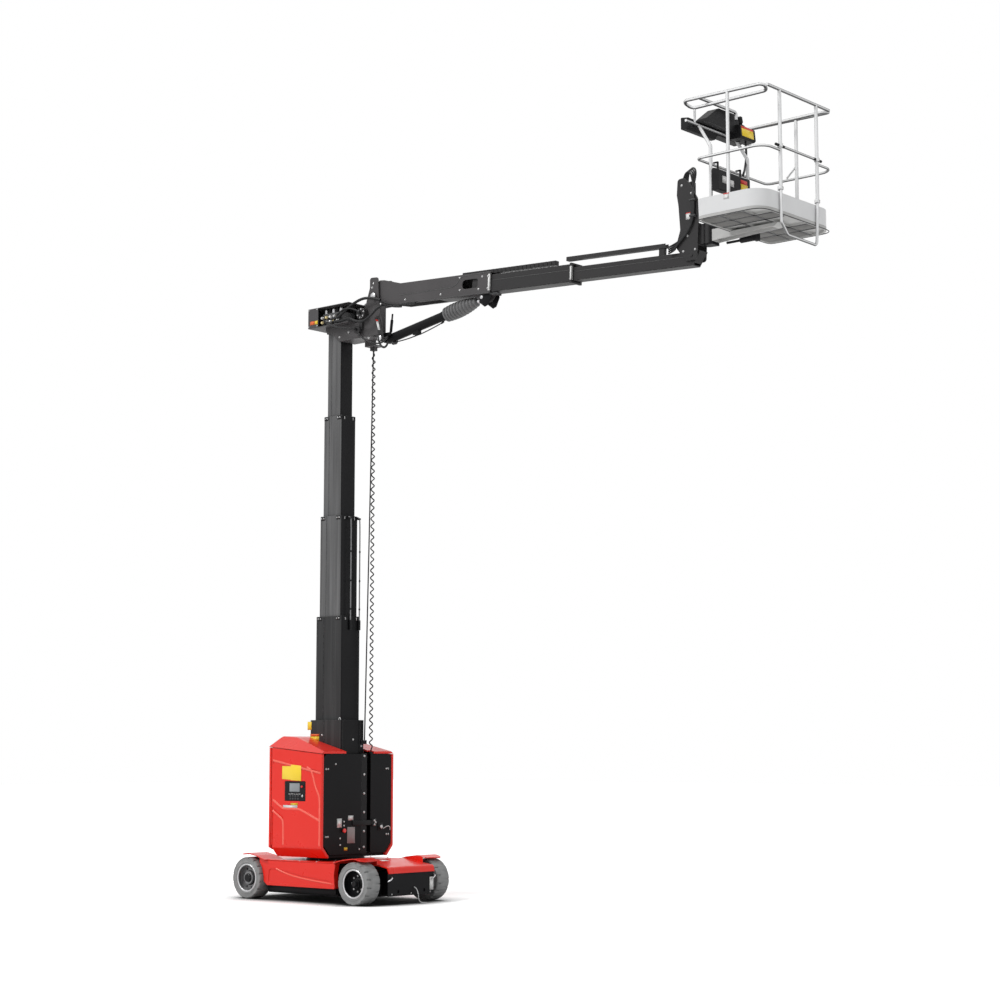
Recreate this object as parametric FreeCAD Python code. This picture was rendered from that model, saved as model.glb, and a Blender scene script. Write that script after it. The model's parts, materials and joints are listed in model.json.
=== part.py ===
import FreeCAD, Part
import math
import os

# Vertical mast lift. Millimetres, +X forward (the way the jib points), +Y left, +Z up.
# Everything is laid out from the slewing axis, and moved along X when it is written,
# so that the origin is below the middle of the whole machine.

V = FreeCAD.Vector
AXIS_Y = V(0, 1, 0)

# ---- driving dimensions ----
WIDTH = 1200.0            # over the tyres
WHEELBASE = 1570.0
MID_WHEELBASE = 65.0      # the slewing axis is this far behind it
TYRE_DIA = 430.0
TYRE_WIDTH = 180.0
RIM_DIA = 300.0
KINGPIN_Y = 392.0
KINGPIN_DIA = 30.0
DECK_Z = 412.0
FRAME_TOP = 400.0
CHASSIS_FRONT = 1085.0
CHASSIS_REAR = -950.0
FRAME_HALF = 500.0
FRAME_FRONT = 540.0       # the steered wheels need the room ahead of it
NOSE_HALF = 235.0
NOSE_CLEAR_Y = 335.0
SHEET = 9.0
FRONT_WING = ((540.0, 403.0), (690.0, 438.0), (860.0, 458.0), (985.0, 430.0))     # underside, X and Z
REAR_WING = ((-445.0, 403.0), (-570.0, 443.0), (-700.0, 466.0), (-830.0, 448.0))

SLEW_DIA = 600.0
TURRET_Z = 444.0
TURRET_FRONT = 318.0
TURRET_REAR = -478.0
TURRET_HALF = 527.0
TURRET_PEAK = 1687.0
EDGE_REAR_Z = 1576.0      # height of the side edge at the rear and at the front
EDGE_FRONT_Z = 1505.0
CHIN_HALF = 437.0         # half width along the turret's lower edge
HINGE_X = -424.0
HINGE_Y = 519.0
PANEL = 28.0
GAP = 6.0

MAST_WALL = 8.0
SLEEVE = (460.0, 340.0)
SLEEVE_WALL = 12.0
SLEEVE_TOP = 1855.0
STAGES = (                # size along X, size along Y, top, length
    (384.0, 273.0, 2944.0, 1400.0),
    (320.0, 245.0, 4012.0, 1395.0),
    (270.0, 210.0, 5088.0, 1390.0),
    (200.0, 180.0, 6040.0, 1500.0),
)
HEAD_Z = 5884.0           # underside of the mast head
HEAD_HALF = 102.0         # inner face of the head's side plates
VALVE_Z = 6062.0

JIB_X = 620.0             # jib pivot
JIB_Z = 6300.0
JIB_TILT = 2.8            # nose down, degrees
JIB_ROOT = 340.0
BASE_END = 1600.0
MID_END = 2650.0
FLY_END = 4040.0
MID_LENGTH = 1300.0
FLY_LENGTH = 1640.0
BASE_BOX = (180.0, 224.0, 8.0)   # width, height, wall
MID_BOX = (146.0, 176.0, 8.0)
FLY_BOX = (114.0, 132.0, 8.0)
MID_DROP = 10.0           # the inner tubes' centre lines lie this far below the base's
FLY_DROP = 18.0
CYL_X = 707.0             # lower pin of the lift cylinder
CYL_Z = 5840.0
EYE_AT = 1475.0           # rod eye, along the jib from its pivot
EYE_DROP = 138.0          # and below the jib's centre line
BARREL_END = 842.0        # along the cylinder from its foot
BOOT_END = 1289.0
BARREL_DIA = 94.0
ROD_DIA = 45.0

LEVEL_X = 4690.0          # levelling pin at the end of the jib
LEVEL_Z = 6112.0
ROTATE_X = 4842.0         # upright axis that the basket turns about
CHANNEL_X = 4916.0        # rear end of the channel that carries the floor
BASKET_REAR = 5112.0
BASKET_FRONT = 5822.0
BASKET_HALF = 597.0
FLOOR_Z = 6270.0
FLOOR_DEPTH = 30.0
TOE_TOP = 6460.0
REAR_CORNER = 80.0
FRONT_CORNER = 190.0
RAIL_TOP = 7410.0
MID_RAIL_Z = 6840.0
RAIL_DIA = 30.0
RAIL_HALF = 560.0         # centre line of the outer hand rails
POST_DIA = 32.0
POST_X = 5840.0           # front posts; the drop bar slides on them and the step hoop ends them
REAR_POST_X = 5134.0
BAR_Z = 6880.0
HOOP_DIA = 26.0
GATE = (-312.0, 290.0)
SHELF_X = 5004.0          # console tube behind the basket
SHELF_Z = 7220.0

CURLY = (304.0, 200.0)
CURLY_DIA = 48.0
CABLE_DIA = 14.0
STRAP_DIA = 9.0
CORD_TOP = 5799.0

X_SHIFT = -(CHASSIS_REAR + POST_X + RAIL_DIA / 2) / 2
FRONT_AXLE = MID_WHEELBASE + WHEELBASE / 2
REAR_AXLE = MID_WHEELBASE - WHEELBASE / 2
AXLE_Z = TYRE_DIA / 2
WHEEL_Y = (WIDTH - TYRE_WIDTH) / 2


# ---- helpers ----
def box(x0, x1, y0, y1, z0, z1):
    return Part.makeBox(x1 - x0, y1 - y0, z1 - z0, V(x0, y0, z0))


def rod(start, end, dia):
    direction = end.sub(start)
    return Part.makeCylinder(dia / 2, direction.Length, start, direction)


def ring(start, end, dia, bore):
    return rod(start, end, dia).cut(rod(start, end, bore))


def fuse(shapes):
    return shapes[0].multiFuse(shapes[1:]).removeSplitter()


def mirrored(shape):
    return shape.mirror(V(0, 0, 0), AXIS_Y)


def both(shape):
    return fuse([shape, mirrored(shape)])


def outline_face(corners, place):
    """A flat face with straight sides; a corner with a third value is rounded to that radius."""
    points = [place(corner[0], corner[1]) for corner in corners]
    radii = [corner[2] if len(corner) > 2 else 0.0 for corner in corners]
    count = len(points)
    stops = []
    for index in range(count):
        corner = points[index]
        before = points[index - 1].sub(corner)
        after = points[(index + 1) % count].sub(corner)
        if radii[index] == 0:
            stops.append((corner, None, corner))
            continue
        half = before.getAngle(after) / 2
        setback = min(radii[index] / math.tan(half), 0.49 * min(before.Length, after.Length))
        used = setback * math.tan(half)
        inward = before.normalize()
        outward = after.normalize()
        first = corner.add(V(inward).multiply(setback))
        last = corner.add(V(outward).multiply(setback))
        way = inward.add(outward).normalize()
        middle = corner.add(V(way).multiply(used / math.sin(half) - used))
        stops.append((first, middle, last))
    edges = []
    for index in range(count):
        first, middle, last = stops[index]
        if middle is not None:
            edges.append(Part.Arc(first, middle, last).toShape())
        edges.append(Part.LineSegment(last, stops[(index + 1) % count][0]).toShape())
    return Part.Face(Part.Wire(edges))


def side_plate(corners, y0, y1):
    """A plate between y0 and y1 whose outline is given as (x, z) corners."""
    return outline_face(corners, lambda x, z: V(x, y0, z)).extrude(V(0, y1 - y0, 0))


def end_plate(corners, x0, x1):
    """A plate between x0 and x1 whose outline is given as (y, z) corners."""
    return outline_face(corners, lambda y, z: V(x0, y, z)).extrude(V(x1 - x0, 0, 0))


def flat_plate(corners, z0, z1):
    """A plate between z0 and z1 whose outline is given as (x, y) corners."""
    return outline_face(corners, lambda x, y: V(x, y, z0)).extrude(V(0, 0, z1 - z0))


def beyond(point, normal, size=3000.0):
    """A big block on the far side of a plane, for trimming."""
    block = Part.makeBox(size, size, size, V(-size / 2, -size / 2, 0))
    block.Placement = FreeCAD.Placement(point, FreeCAD.Rotation(V(0, 0, 1), normal))
    return block


def rounded_path(points, radius):
    """Straight runs through the points, joined by tangent arcs, and the arc radii.
    The radius wanted is one number, or a list with one for each corner."""
    edges = []
    radii = []
    start = points[0]
    wanted = radius if isinstance(radius, list) else [radius] * (len(points) - 2)
    for before, corner, after, limit in zip(points, points[1:], points[2:], wanted):
        inward = before.sub(corner).normalize()
        outward = after.sub(corner).normalize()
        half = inward.getAngle(outward) / 2
        shorter = min(before.sub(corner).Length, after.sub(corner).Length)
        setback = min(limit / math.tan(half), 0.45 * shorter)
        used = setback * math.tan(half)
        first = corner.add(V(inward).multiply(setback))
        last = corner.add(V(outward).multiply(setback))
        way = inward.add(outward).normalize()
        middle = corner.add(V(way).multiply(used / math.sin(half) - used))
        edges.append(Part.LineSegment(start, first).toShape())
        edges.append(Part.Arc(first, middle, last).toShape())
        radii.append(round(used, 1))
        start = last
    edges.append(Part.LineSegment(start, points[-1]).toShape())
    return Part.Wire(edges), radii


def tube(points, dia, radius):
    """A round bar along the rounded path."""
    path = rounded_path(points, radius)[0]
    start = path.Edges[0]
    section = Part.Wire(Part.makeCircle(dia / 2, points[0], start.tangentAt(start.FirstParameter)))
    return path.makePipeShell([section], True, True)


def cord(points, dia):
    """A cord's tube, with arcs as large as its runs allow."""
    path, radii = rounded_path(points, math.inf)
    print("cord radii", radii, "length", round(path.Length, 1))
    start = path.Edges[0]
    section = Part.Wire(Part.makeCircle(dia / 2, points[0], start.tangentAt(start.FirstParameter)))
    shape = path.makePipeShell([section], True, True)
    print("volume ratio", round(shape.Volume / (path.Length * math.pi * dia * dia / 4), 4))
    return shape


def closed_tube(points, dia, radius):
    """A round bar round a closed loop of corners, made as two halves."""
    half = len(points) // 2
    first = points[-1].add(points[0]).multiply(0.5)
    second = points[half - 1].add(points[half]).multiply(0.5)
    return fuse([tube([first] + points[:half] + [second], dia, radius),
                 tube([second] + points[half:] + [first], dia, radius)])


def on_jib(shape):
    """Turns a shape that is drawn along a level jib to the jib's own slope."""
    turned = shape.copy()
    turned.rotate(V(JIB_X, 0, JIB_Z), AXIS_Y, JIB_TILT)
    return turned


def jib_box(x0, x1, y0, y1, z0, z1):
    """A block placed from the jib's pivot, along the level jib."""
    return box(JIB_X + x0, JIB_X + x1, y0, y1, JIB_Z + z0, JIB_Z + z1)


def jib_plate(corners, y0, y1):
    """A side plate whose corners are measured from the jib's pivot."""
    placed = [(JIB_X + corner[0], JIB_Z + corner[1]) + tuple(corner[2:]) for corner in corners]
    return side_plate(placed, y0, y1)


def box_tube(x0, x1, size, drop):
    """A rectangular tube along the jib."""
    width, height, wall = size
    outer = jib_box(x0, x1, -width / 2, width / 2, -drop - height / 2, -drop + height / 2)
    inner = jib_box(x0 - 1, x1 + 1, wall - width / 2, width / 2 - wall,
                    wall - drop - height / 2, height / 2 - wall - drop)
    return outer.cut(inner)


def mast_tube(size_x, size_y, wall, z0, z1):
    """An upright rectangular tube on the slewing axis, with rounded corners."""
    def section(inset, radius):
        x = size_x / 2 - inset
        y = size_y / 2 - inset
        return [(-x, -y, radius), (x, -y, radius), (x, y, radius), (-x, y, radius)]
    return flat_plate(section(0, 12), z0, z1).cut(flat_plate(section(wall, 5), z0 - 1, z1 + 1))


def save(name, shape):
    moved = shape.copy()
    moved.translate(V(X_SHIFT, 0, 0))
    solids = moved.Solids
    result = solids[0] if len(solids) == 1 else Part.makeCompound(solids)
    result.exportStep("parts/" + name + ".step")
    bounds = result.BoundBox
    print(name, len(solids), "solids", "valid" if result.isValid() else "INVALID",
          round(result.Volume / 1e6, 3), "l",
          [round(v) for v in (bounds.XMin, bounds.XMax, bounds.YMin, bounds.YMax, bounds.ZMin, bounds.ZMax)])


# ---- chassis ----
def chassis_frame():
    wall = 12
    middle = box(-480, FRAME_FRONT, -FRAME_HALF, FRAME_HALF, 76, FRAME_TOP)
    nose = box(FRAME_FRONT, CHASSIS_FRONT - wall, -NOSE_HALF, NOSE_HALF, 95, 330)
    tail = box(CHASSIS_REAR + wall, -480, -NOSE_CLEAR_Y, NOSE_CLEAR_Y, 95, 380)
    hollow = fuse([box(wall - 480, FRAME_FRONT - wall, wall - FRAME_HALF, FRAME_HALF - wall, 88,
                       FRAME_TOP - wall),
                   box(CHASSIS_REAR + 2 * wall, -460, wall - NOSE_CLEAR_Y, NOSE_CLEAR_Y - wall, 107, 368),
                   box(FRAME_FRONT - 20, CHASSIS_FRONT - 2 * wall, wall - NOSE_HALF, NOSE_HALF - wall, 107,
                       318)])
    body = fuse([middle, nose, tail]).cut(hollow)
    return body.cut(rod(V(REAR_AXLE, -500, AXLE_Z), V(REAR_AXLE, 500, AXLE_Z), 121))


def wing(line):
    """A mudguard over a right-hand wheel; it rises from the deck's edge and droops at its end."""
    bend = 120.0
    low = [line[0], (*line[1], bend), (*line[2], bend), line[3]]
    top = [(line[3][0], line[3][1] + SHEET), (line[2][0], line[2][1] + SHEET, bend),
           (line[1][0], line[1][1] + SHEET, bend), (line[0][0], line[0][1] + SHEET)]
    strip = side_plate(low + top, -WIDTH / 2, -NOSE_CLEAR_Y)
    start = line[0][0]
    end = line[3][0]
    way = 1 if end > start else -1
    plan = [(start, -NOSE_CLEAR_Y), (end - way * 30, -NOSE_CLEAR_Y, 50), (end, -WIDTH / 2, 70),
            (start, -WIDTH / 2)]
    return strip.common(flat_plate(plan, 390, 500))


def wing_web(line, x0, x1):
    """The upright edge between a wing and the lower bonnet or tail beside it."""
    below = [(x, z + SHEET / 2) for x, z in line] + [(line[3][0], 384), (line[0][0], 384)]
    web = side_plate(below, -NOSE_CLEAR_Y - 4, -NOSE_CLEAR_Y + 4)
    return web.common(box(x0, x1, -NOSE_CLEAR_Y - 4, -NOSE_CLEAR_Y + 4, 384, 500))


def chassis_deck():
    low = DECK_Z - SHEET
    plate = box(-541, 561, -548, 548, low, DECK_Z)
    plate = plate.cut(both(box(-542, -446, -549, -FRAME_HALF, low - 1, DECK_Z + 1)))
    bonnet = side_plate([(560, low), (660, 426, 90), (1066, 364, 30), (1088, 312), (1097, 312),
                         (1084, 376, 30), (660, 436, 90), (560, DECK_Z)], -NOSE_CLEAR_Y, NOSE_CLEAR_Y)
    boot = box(CHASSIS_REAR, -540, -NOSE_CLEAR_Y, NOSE_CLEAR_Y, low, DECK_Z)
    wings = [wing(FRONT_WING), wing(REAR_WING), wing_web(FRONT_WING, 640, 930),
             wing_web(REAR_WING, -790, -568)]
    deck = fuse([plate, bonnet, boot] + wings + [mirrored(piece) for piece in wings])
    return deck.cut(rod(V(0, 0, 300), V(0, 0, 500), SLEW_DIA + 20))


def side_skirt():
    """Red flank between the wheels, set back below a long curved crease."""
    outline = [(-450, 401), (-560, 434), (-562, 384), (-520, 322, 60), (-499, 240, 60), (-495, 190),
               (-446, 150, 20), (556, 150, 20), (540, 300, 60), (562, 401)]
    panel = side_plate(outline, -560, -FRAME_HALF - 1)
    crease = [(-280, 320, 40), (60, 262, 900), (500, 222, 60), (500, 176, 20), (-420, 176, 20),
              (-420, 320, 40)]
    return panel.cut(side_plate(crease, -570, -555))


def front_plate():
    """Black bumper plate with two round tie-down holes."""
    plate = box(CHASSIS_FRONT - 12, CHASSIS_FRONT, -NOSE_CLEAR_Y, NOSE_CLEAR_Y, 88, 312)
    holes = [rod(V(1000, y, 130), V(1200, y, 130), 36) for y in (-190, 190)]
    return plate.cut(fuse(holes))


def rear_plate():
    plate = box(CHASSIS_REAR, CHASSIS_REAR + 12, -NOSE_CLEAR_Y - 30, NOSE_CLEAR_Y + 30, 88, FRAME_TOP)
    holes = [rod(V(-1000, y, 130), V(-900, y, 130), 36) for y in (-190, 190)]
    return plate.cut(fuse(holes))


def battery_pack():
    return box(-440, 500, -460, 460, 90, 344)


def slew_ring():
    return ring(V(0, 0, FRAME_TOP), V(0, 0, DECK_Z + 20), SLEW_DIA, SLEW_DIA - 140)


def rear_axle():
    beam = rod(V(REAR_AXLE, -415, AXLE_Z), V(REAR_AXLE, 415, AXLE_Z), 120)
    stub = rod(V(REAR_AXLE, -525, AXLE_Z), V(REAR_AXLE, 525, AXLE_Z), 50)
    return fuse([beam, stub])


def front_axle():
    """Beam below the nose, with a fork and kingpin at each end."""
    low = box(FRONT_AXLE - 50, FRONT_AXLE + 50, -NOSE_HALF - 20, NOSE_HALF + 20, 75, 94)
    cheek = box(FRONT_AXLE - 50, FRONT_AXLE + 50, -NOSE_HALF - 20, -NOSE_HALF - 1, 75, 265)
    arm = box(FRONT_AXLE - 26, FRONT_AXLE + 26, -KINGPIN_Y + 48, -NOSE_HALF - 10, 165, 265)
    plates = [box(FRONT_AXLE - 26, FRONT_AXLE + 26, -KINGPIN_Y - 26, -KINGPIN_Y + 60, z,
                  z + 14) for z in (165, 251)]
    kingpin = rod(V(FRONT_AXLE, -KINGPIN_Y, 165), V(FRONT_AXLE, -KINGPIN_Y, 272), KINGPIN_DIA)
    side = [cheek, arm, kingpin] + plates
    return fuse([low] + side + [mirrored(piece) for piece in side])


def knuckle():
    """Right-hand steering knuckle: barrel on the kingpin, wheel spindle and steering arm."""
    barrel = rod(V(FRONT_AXLE, -KINGPIN_Y, 181), V(FRONT_AXLE, -KINGPIN_Y, 249), 64)
    spindle = rod(V(FRONT_AXLE, -KINGPIN_Y - 15, AXLE_Z), V(FRONT_AXLE, -525, AXLE_Z), 50)
    arm = box(FRONT_AXLE - 150, FRONT_AXLE - 15, -KINGPIN_Y - 12, -KINGPIN_Y + 10, 205, 225)
    bore = rod(V(FRONT_AXLE, -KINGPIN_Y, 150), V(FRONT_AXLE, -KINGPIN_Y, 300), KINGPIN_DIA + 1)
    return fuse([barrel, spindle, arm]).cut(bore)


def tyre(x, side):
    y0 = side * WHEEL_Y - TYRE_WIDTH / 2
    y1 = side * WHEEL_Y + TYRE_WIDTH / 2
    inner = RIM_DIA / 2
    outer = TYRE_DIA / 2
    edge = 6.0
    soft = 16.0
    corners = [(y0, AXLE_Z + inner), (y1, AXLE_Z + inner), (y1, AXLE_Z + outer - soft),
               (y1 - edge, AXLE_Z + outer - edge),
               (y1 - soft, AXLE_Z + outer), (y0 + soft, AXLE_Z + outer), (y0 + edge, AXLE_Z + outer - edge),
               (y0, AXLE_Z + outer - soft)]
    return outline_face(corners, lambda y, z: V(x, y, z)).revolve(V(x, 0, AXLE_Z), AXIS_Y, 360)


def rim(x, side, disc_y, hub_dia):
    """Steel wheel: flanged barrel, deep-set disc with hand holes, and hub."""
    y0 = side * (WHEEL_Y - TYRE_WIDTH / 2 + 10)
    y1 = side * (WHEEL_Y + TYRE_WIDTH / 2 - 8)
    barrel = ring(V(x, y0, AXLE_Z), V(x, y1, AXLE_Z), RIM_DIA, RIM_DIA - 18)
    lip = ring(V(x, y1 - side * 7, AXLE_Z), V(x, y1, AXLE_Z), RIM_DIA, RIM_DIA - 44)
    disc = rod(V(x, side * disc_y, AXLE_Z), V(x, side * (disc_y + 12), AXLE_Z), RIM_DIA - 10)
    hub = rod(V(x, side * 450, AXLE_Z), V(x, side * (disc_y + 42), AXLE_Z), hub_dia)
    cap = rod(V(x, side * (disc_y + 40), AXLE_Z), V(x, side * (disc_y + 58), AXLE_Z), hub_dia * 0.62)
    bore = rod(V(x, side * 400, AXLE_Z), V(x, side * 527, AXLE_Z), 52)
    return fuse([barrel, lip, disc, hub, cap]).cut(bore)


# ---- turret ----
def turret_base():
    plate = box(TURRET_REAR + 40, TURRET_FRONT - 30, -CHIN_HALF + 20, CHIN_HALF - 20, TURRET_Z, TURRET_Z + 25)
    boss = rod(V(0, 0, DECK_Z + 22), V(0, 0, TURRET_Z), SLEW_DIA - 10)
    return fuse([plate, boss])


def mast_base():
    """Outer mast sleeve with its foot, collar and the clamp of the straight cable."""
    foot_z = TURRET_Z + 26
    tube_part = mast_tube(SLEEVE[0], SLEEVE[1], SLEEVE_WALL, foot_z, SLEEVE_TOP)
    foot = box(-290, 286, -230, 230, foot_z, foot_z + 20)
    foot = foot.cut(box(-200, 200, -150, 150, foot_z - 1, foot_z + 30))
    clamp = box(SLEEVE[0] / 2 - 1, 276, 134, 166, 1604, 1645)
    seam = fuse([box(-26, -12, -200, -SLEEVE[1] / 2 + 3, 1500, 2000),
                 box(-26, -12, SLEEVE[1] / 2 - 3, 200, 1500, 2000)])
    return fuse([tube_part, foot, clamp]).cut(seam)


def side_edge(offset):
    """Block above the sloping upper edge of the turret's flanks."""
    slope = V(TURRET_FRONT - TURRET_REAR, 0, EDGE_FRONT_Z - EDGE_REAR_Z)
    normal = V(-slope.z, 0, slope.x)
    return beyond(V(TURRET_REAR, 0, EDGE_REAR_Z + offset), normal)


def flank(inset):
    """Cross-section of the turret below its upper edge, as (y, z) corners."""
    half = TURRET_HALF - inset
    chin = CHIN_HALF - inset * 0.4
    low = TURRET_Z + inset
    return [(-half, 1700), (-half, 545 + inset * 0.4, 40), (-chin, low), (chin, low),
            (half, 545 + inset * 0.4, 40), (half, 1700)]


def side_door(with_window):
    """Right-hand flank cover, hinged along its rear edge, with a set-back lower rear corner."""
    shell = end_plate(flank(0), HINGE_X, TURRET_FRONT).cut(end_plate(flank(PANEL), HINGE_X - 1,
                                                                     TURRET_FRONT + 1))
    shell = shell.cut(box(-900, 900, -CHIN_HALF + 18, 900, 300, 1800)).cut(side_edge(-GAP))
    recess = [(-500, 994), (-446, 970), (-246, 871, 20), (-239, 520), (-500, 520)]
    shell = shell.cut(side_plate(recess, -600, -TURRET_HALF + 9))
    band = [(-410, 1436), (-410, 1404), (298, 1296), (298, 1328)]
    shell = shell.cut(side_plate(band, -600, -TURRET_HALF + 4))
    if with_window:
        window = [(-228, 1019, 8), (82, 1019, 8), (82, 1223, 8), (-228, 1223, 8)]
        shell = shell.cut(side_plate(window, -600, -400))
    edge = rod(V(HINGE_X, -HINGE_Y, 560), V(HINGE_X, -HINGE_Y, 1558), 16)
    return fuse([shell, edge])


def rear_cover():
    """Rear panel with rounded upright corners and the same chin as the flanks."""
    front = HINGE_X - 8 - GAP
    outer = end_plate(flank(0), TURRET_REAR, front)
    plan = [(front, -TURRET_HALF), (front, TURRET_HALF), (TURRET_REAR, TURRET_HALF, 20),
            (TURRET_REAR, -TURRET_HALF, 20)]
    outer = outer.common(flat_plate(plan, 400, 1800))
    inner = end_plate(flank(16), TURRET_REAR + 14, front + 1)
    chin = beyond(V(TURRET_REAR, 0, 545), V(-0.6, 0, -0.8))
    return outer.cut(inner).cut(side_edge(-GAP)).cut(chin)


def roof_block(inset):
    """Solid of the roof: highest at the rear, falling to the front and to both flanks."""
    top = TURRET_PEAK - inset
    rear = TURRET_REAR + inset
    front = TURRET_FRONT - inset
    profile = [(rear, 1480), (rear, EDGE_REAR_Z), (TURRET_REAR + 42, top, 30), (-225, top - 14, 60),
               (front, 1528 - inset), (front, 1440)]
    block = side_plate(profile, -TURRET_HALF + inset, TURRET_HALF - inset)
    for hand in (-1, 1):
        corner = V(TURRET_REAR, hand * (TURRET_HALF - inset), EDGE_REAR_Z - inset * 0.4)
        along = V(TURRET_FRONT - TURRET_REAR, 0, EDGE_FRONT_Z - EDGE_REAR_Z)
        across = V(0, -hand * 130, 92)
        normal = along.cross(across) if hand > 0 else across.cross(along)
        if normal.z < 0:
            normal = normal.multiply(-1)
        block = block.cut(beyond(corner, normal))
    return block


def top_cover():
    shell = roof_block(0).cut(roof_block(13))
    slope = V(EDGE_REAR_Z - EDGE_FRONT_Z, 0, TURRET_FRONT - TURRET_REAR)
    shell = shell.cut(beyond(V(TURRET_REAR, 0, EDGE_REAR_Z), slope.multiply(-1)))
    hole = box(-SLEEVE[0] / 2 - GAP, 400, -SLEEVE[1] / 2 - GAP, SLEEVE[1] / 2 + GAP, 1400, 1900)
    cord_notch = box(CURLY[0] - CURLY_DIA / 2 - 8, 400, 100, CURLY[1] + CURLY_DIA / 2 + 8, 1400, 1900)
    return shell.cut(hole).cut(cord_notch)


def front_panel_right():
    """Large black front sheet on the right, its outer corners cut off."""
    inner = TURRET_HALF - PANEL - 4
    outline = [(-inner, 576), (-CHIN_HALF + 34, TURRET_Z + 30), (52, TURRET_Z + 30), (52, 1500),
               (-456, 1500, 12), (-inner, 1462, 12)]
    return end_plate(outline, TURRET_FRONT - 12, TURRET_FRONT - 2)


def front_panel_left():
    inner = TURRET_HALF - PANEL - 4
    outline = [(190, TURRET_Z + 30), (CHIN_HALF - 34, TURRET_Z + 30), (inner, 576), (inner, 1462, 12),
               (456, 1500, 12), (190, 1500)]
    gland = box(TURRET_FRONT - 30, TURRET_FRONT - 2, 184, 216, 1500, 1520)
    return fuse([end_plate(outline, TURRET_FRONT - 12, TURRET_FRONT - 2), gland])


def mast_column():
    """Upright bolt strip in front of the mast, with the latch bar across it."""
    strip = box(TURRET_FRONT - 16, TURRET_FRONT - 4, 56, 132, TURRET_Z + 26, 1506)
    side = box(SLEEVE[0] / 2 + 1, TURRET_FRONT - 4, 120, 132, TURRET_Z + 47, 1506)
    slot = box(SLEEVE[0] / 2 + 1, SLEEVE[0] / 2 + 9, 132, 330, TURRET_Z + 47, 1480)
    return fuse([strip, side, slot])


def counterweight():
    return box(-416, -300, -400, 400, TURRET_Z + 26, 1380)


def control_panel():
    """Ground control display, set in the window of the right-hand flank."""
    frame = side_plate([(-224, 1023, 6), (78, 1023, 6), (78, 1219, 6), (-224, 1219, 6)], -TURRET_HALF - 2,
                       -TURRET_HALF + 26)
    screen = side_plate([(-164, 1110, 4), (-2, 1110, 4), (-2, 1206, 4), (-164, 1206, 4)], -600,
                        -TURRET_HALF + 3)
    tab = box(-224, -210, -TURRET_HALF + 12, -TURRET_HALF + 20, 1040, 1060)
    return fuse([frame.cut(screen), tab])


# ---- mast ----
def mast_stage(index):
    """One telescoping stage: a rounded box section with pressed channels down its sides."""
    size_x, size_y, top, length = STAGES[index]
    shape = mast_tube(size_x, size_y, MAST_WALL, top - length, top)
    groove = box(-size_x * 0.20, size_x * 0.20, -size_y / 2 - 1, -size_y / 2 + 3, top - length - 1, top + 1)
    return shape.cut(fuse([groove, mirrored(groove)]))


def mast_head():
    """Collar on the last stage, two side plates carrying the jib, and the cord bracket."""
    collar = mast_tube(226, 2 * HEAD_HALF + 2, 11, 5990, VALVE_Z - 22)
    outline = [(-112, 6054), (-112, 6020), (-30, 5990, 30), (90, HEAD_Z, 30), (CYL_X - 60, HEAD_Z),
               (CYL_X - 40, 5806, 20),
               (CYL_X + 44, 5806, 30), (CYL_X + 12, 6068, 40), (682, 6240), (664, 6502, 26), (548, 6510, 26),
               (548, 6400, 80), (512, 6300, 60), (430, 6054, 60)]
    cheek = side_plate(outline, -HEAD_HALF - 12, -HEAD_HALF)
    cheek = cheek.cut(rod(V(592, -200, 6448), V(592, 200, 6448), 26))
    far_cheek = mirrored(cheek).cut(box(566, 900, 90, 130, 5930, 6216))
    pin = rod(V(JIB_X, -HEAD_HALF - 16, JIB_Z), V(JIB_X, HEAD_HALF + 16, JIB_Z), 40)
    boss = both(rod(V(CYL_X, -HEAD_HALF - 14, CYL_Z), V(CYL_X, -52, CYL_Z), 50))
    floor = box(110, 560, -HEAD_HALF - 1, HEAD_HALF + 1, HEAD_Z, HEAD_Z + 10)
    cap = box(-112, 430, -HEAD_HALF - 1, HEAD_HALF + 1, VALVE_Z - 20, VALVE_Z - 8)
    bracket = fuse([box(262, 424, HEAD_HALF + 8, 236, HEAD_Z - 50, HEAD_Z - 40),
                    box(262, 424, HEAD_HALF + 4, HEAD_HALF + 12, HEAD_Z - 50, HEAD_Z + 40),
                    box(276, 332, 172, 228, CORD_TOP + 1, HEAD_Z - 45)])
    return fuse([cheek, far_cheek, collar, floor, cap, pin, boss, bracket])


def valve_box():
    """Open-sided housing of the valves on top of the mast head."""
    x0, x1, y0, y1, z1 = -292, 322, -205, 100, 6270
    shell = box(x0, x1, y0, y1, VALVE_Z - 7, z1)
    inside = box(x0 + 6, x1 + 1, y0 + 6, y1 - 6, VALVE_Z, z1 - 6)
    window = box(-140, x1 + 1, y0 - 1, y0 + 7, VALVE_Z, z1 - 6)
    return shell.cut(fuse([inside, window]))


def valve_block():
    body = box(-120, 170, -150, 40, VALVE_Z + 1, 6200)
    ports = [rod(V(x, -178, z), V(x, -149, z), 34) for x in (-90, -30, 30, 90, 140) for z in (6100, 6150)]
    return fuse([body] + ports)


def head_motor():
    """Drum-shaped hydraulic motor on the head's right-hand side, with a smaller one below."""
    upper = rod(V(474, -178, 6128), V(474, -HEAD_HALF - 13, 6128), 118)
    lower = rod(V(404, -164, 5964), V(404, -HEAD_HALF - 13, 5964), 84)
    stem = box(420, 460, -140, -HEAD_HALF - 13, 5970, 6110)
    return fuse([upper, lower, stem])


def level_cylinder():
    """Slave cylinder of the basket's levelling, upright between the head and the jib."""
    low = V(806, -58, 5898)
    high = V(830, -58, 6092)
    way = high.sub(low).normalize()
    barrel = rod(low, low.add(V(way).multiply(130)), 30)
    ram = rod(low.add(V(way).multiply(120)), high, 18)
    foot = box(CYL_X + 14, 816, -72, -56, 5868, 5900)
    tie = box(CYL_X - 26, CYL_X + 18, -HEAD_HALF + 1, -58, 5868, 5890)
    return fuse([barrel, ram, foot, tie])


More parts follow.
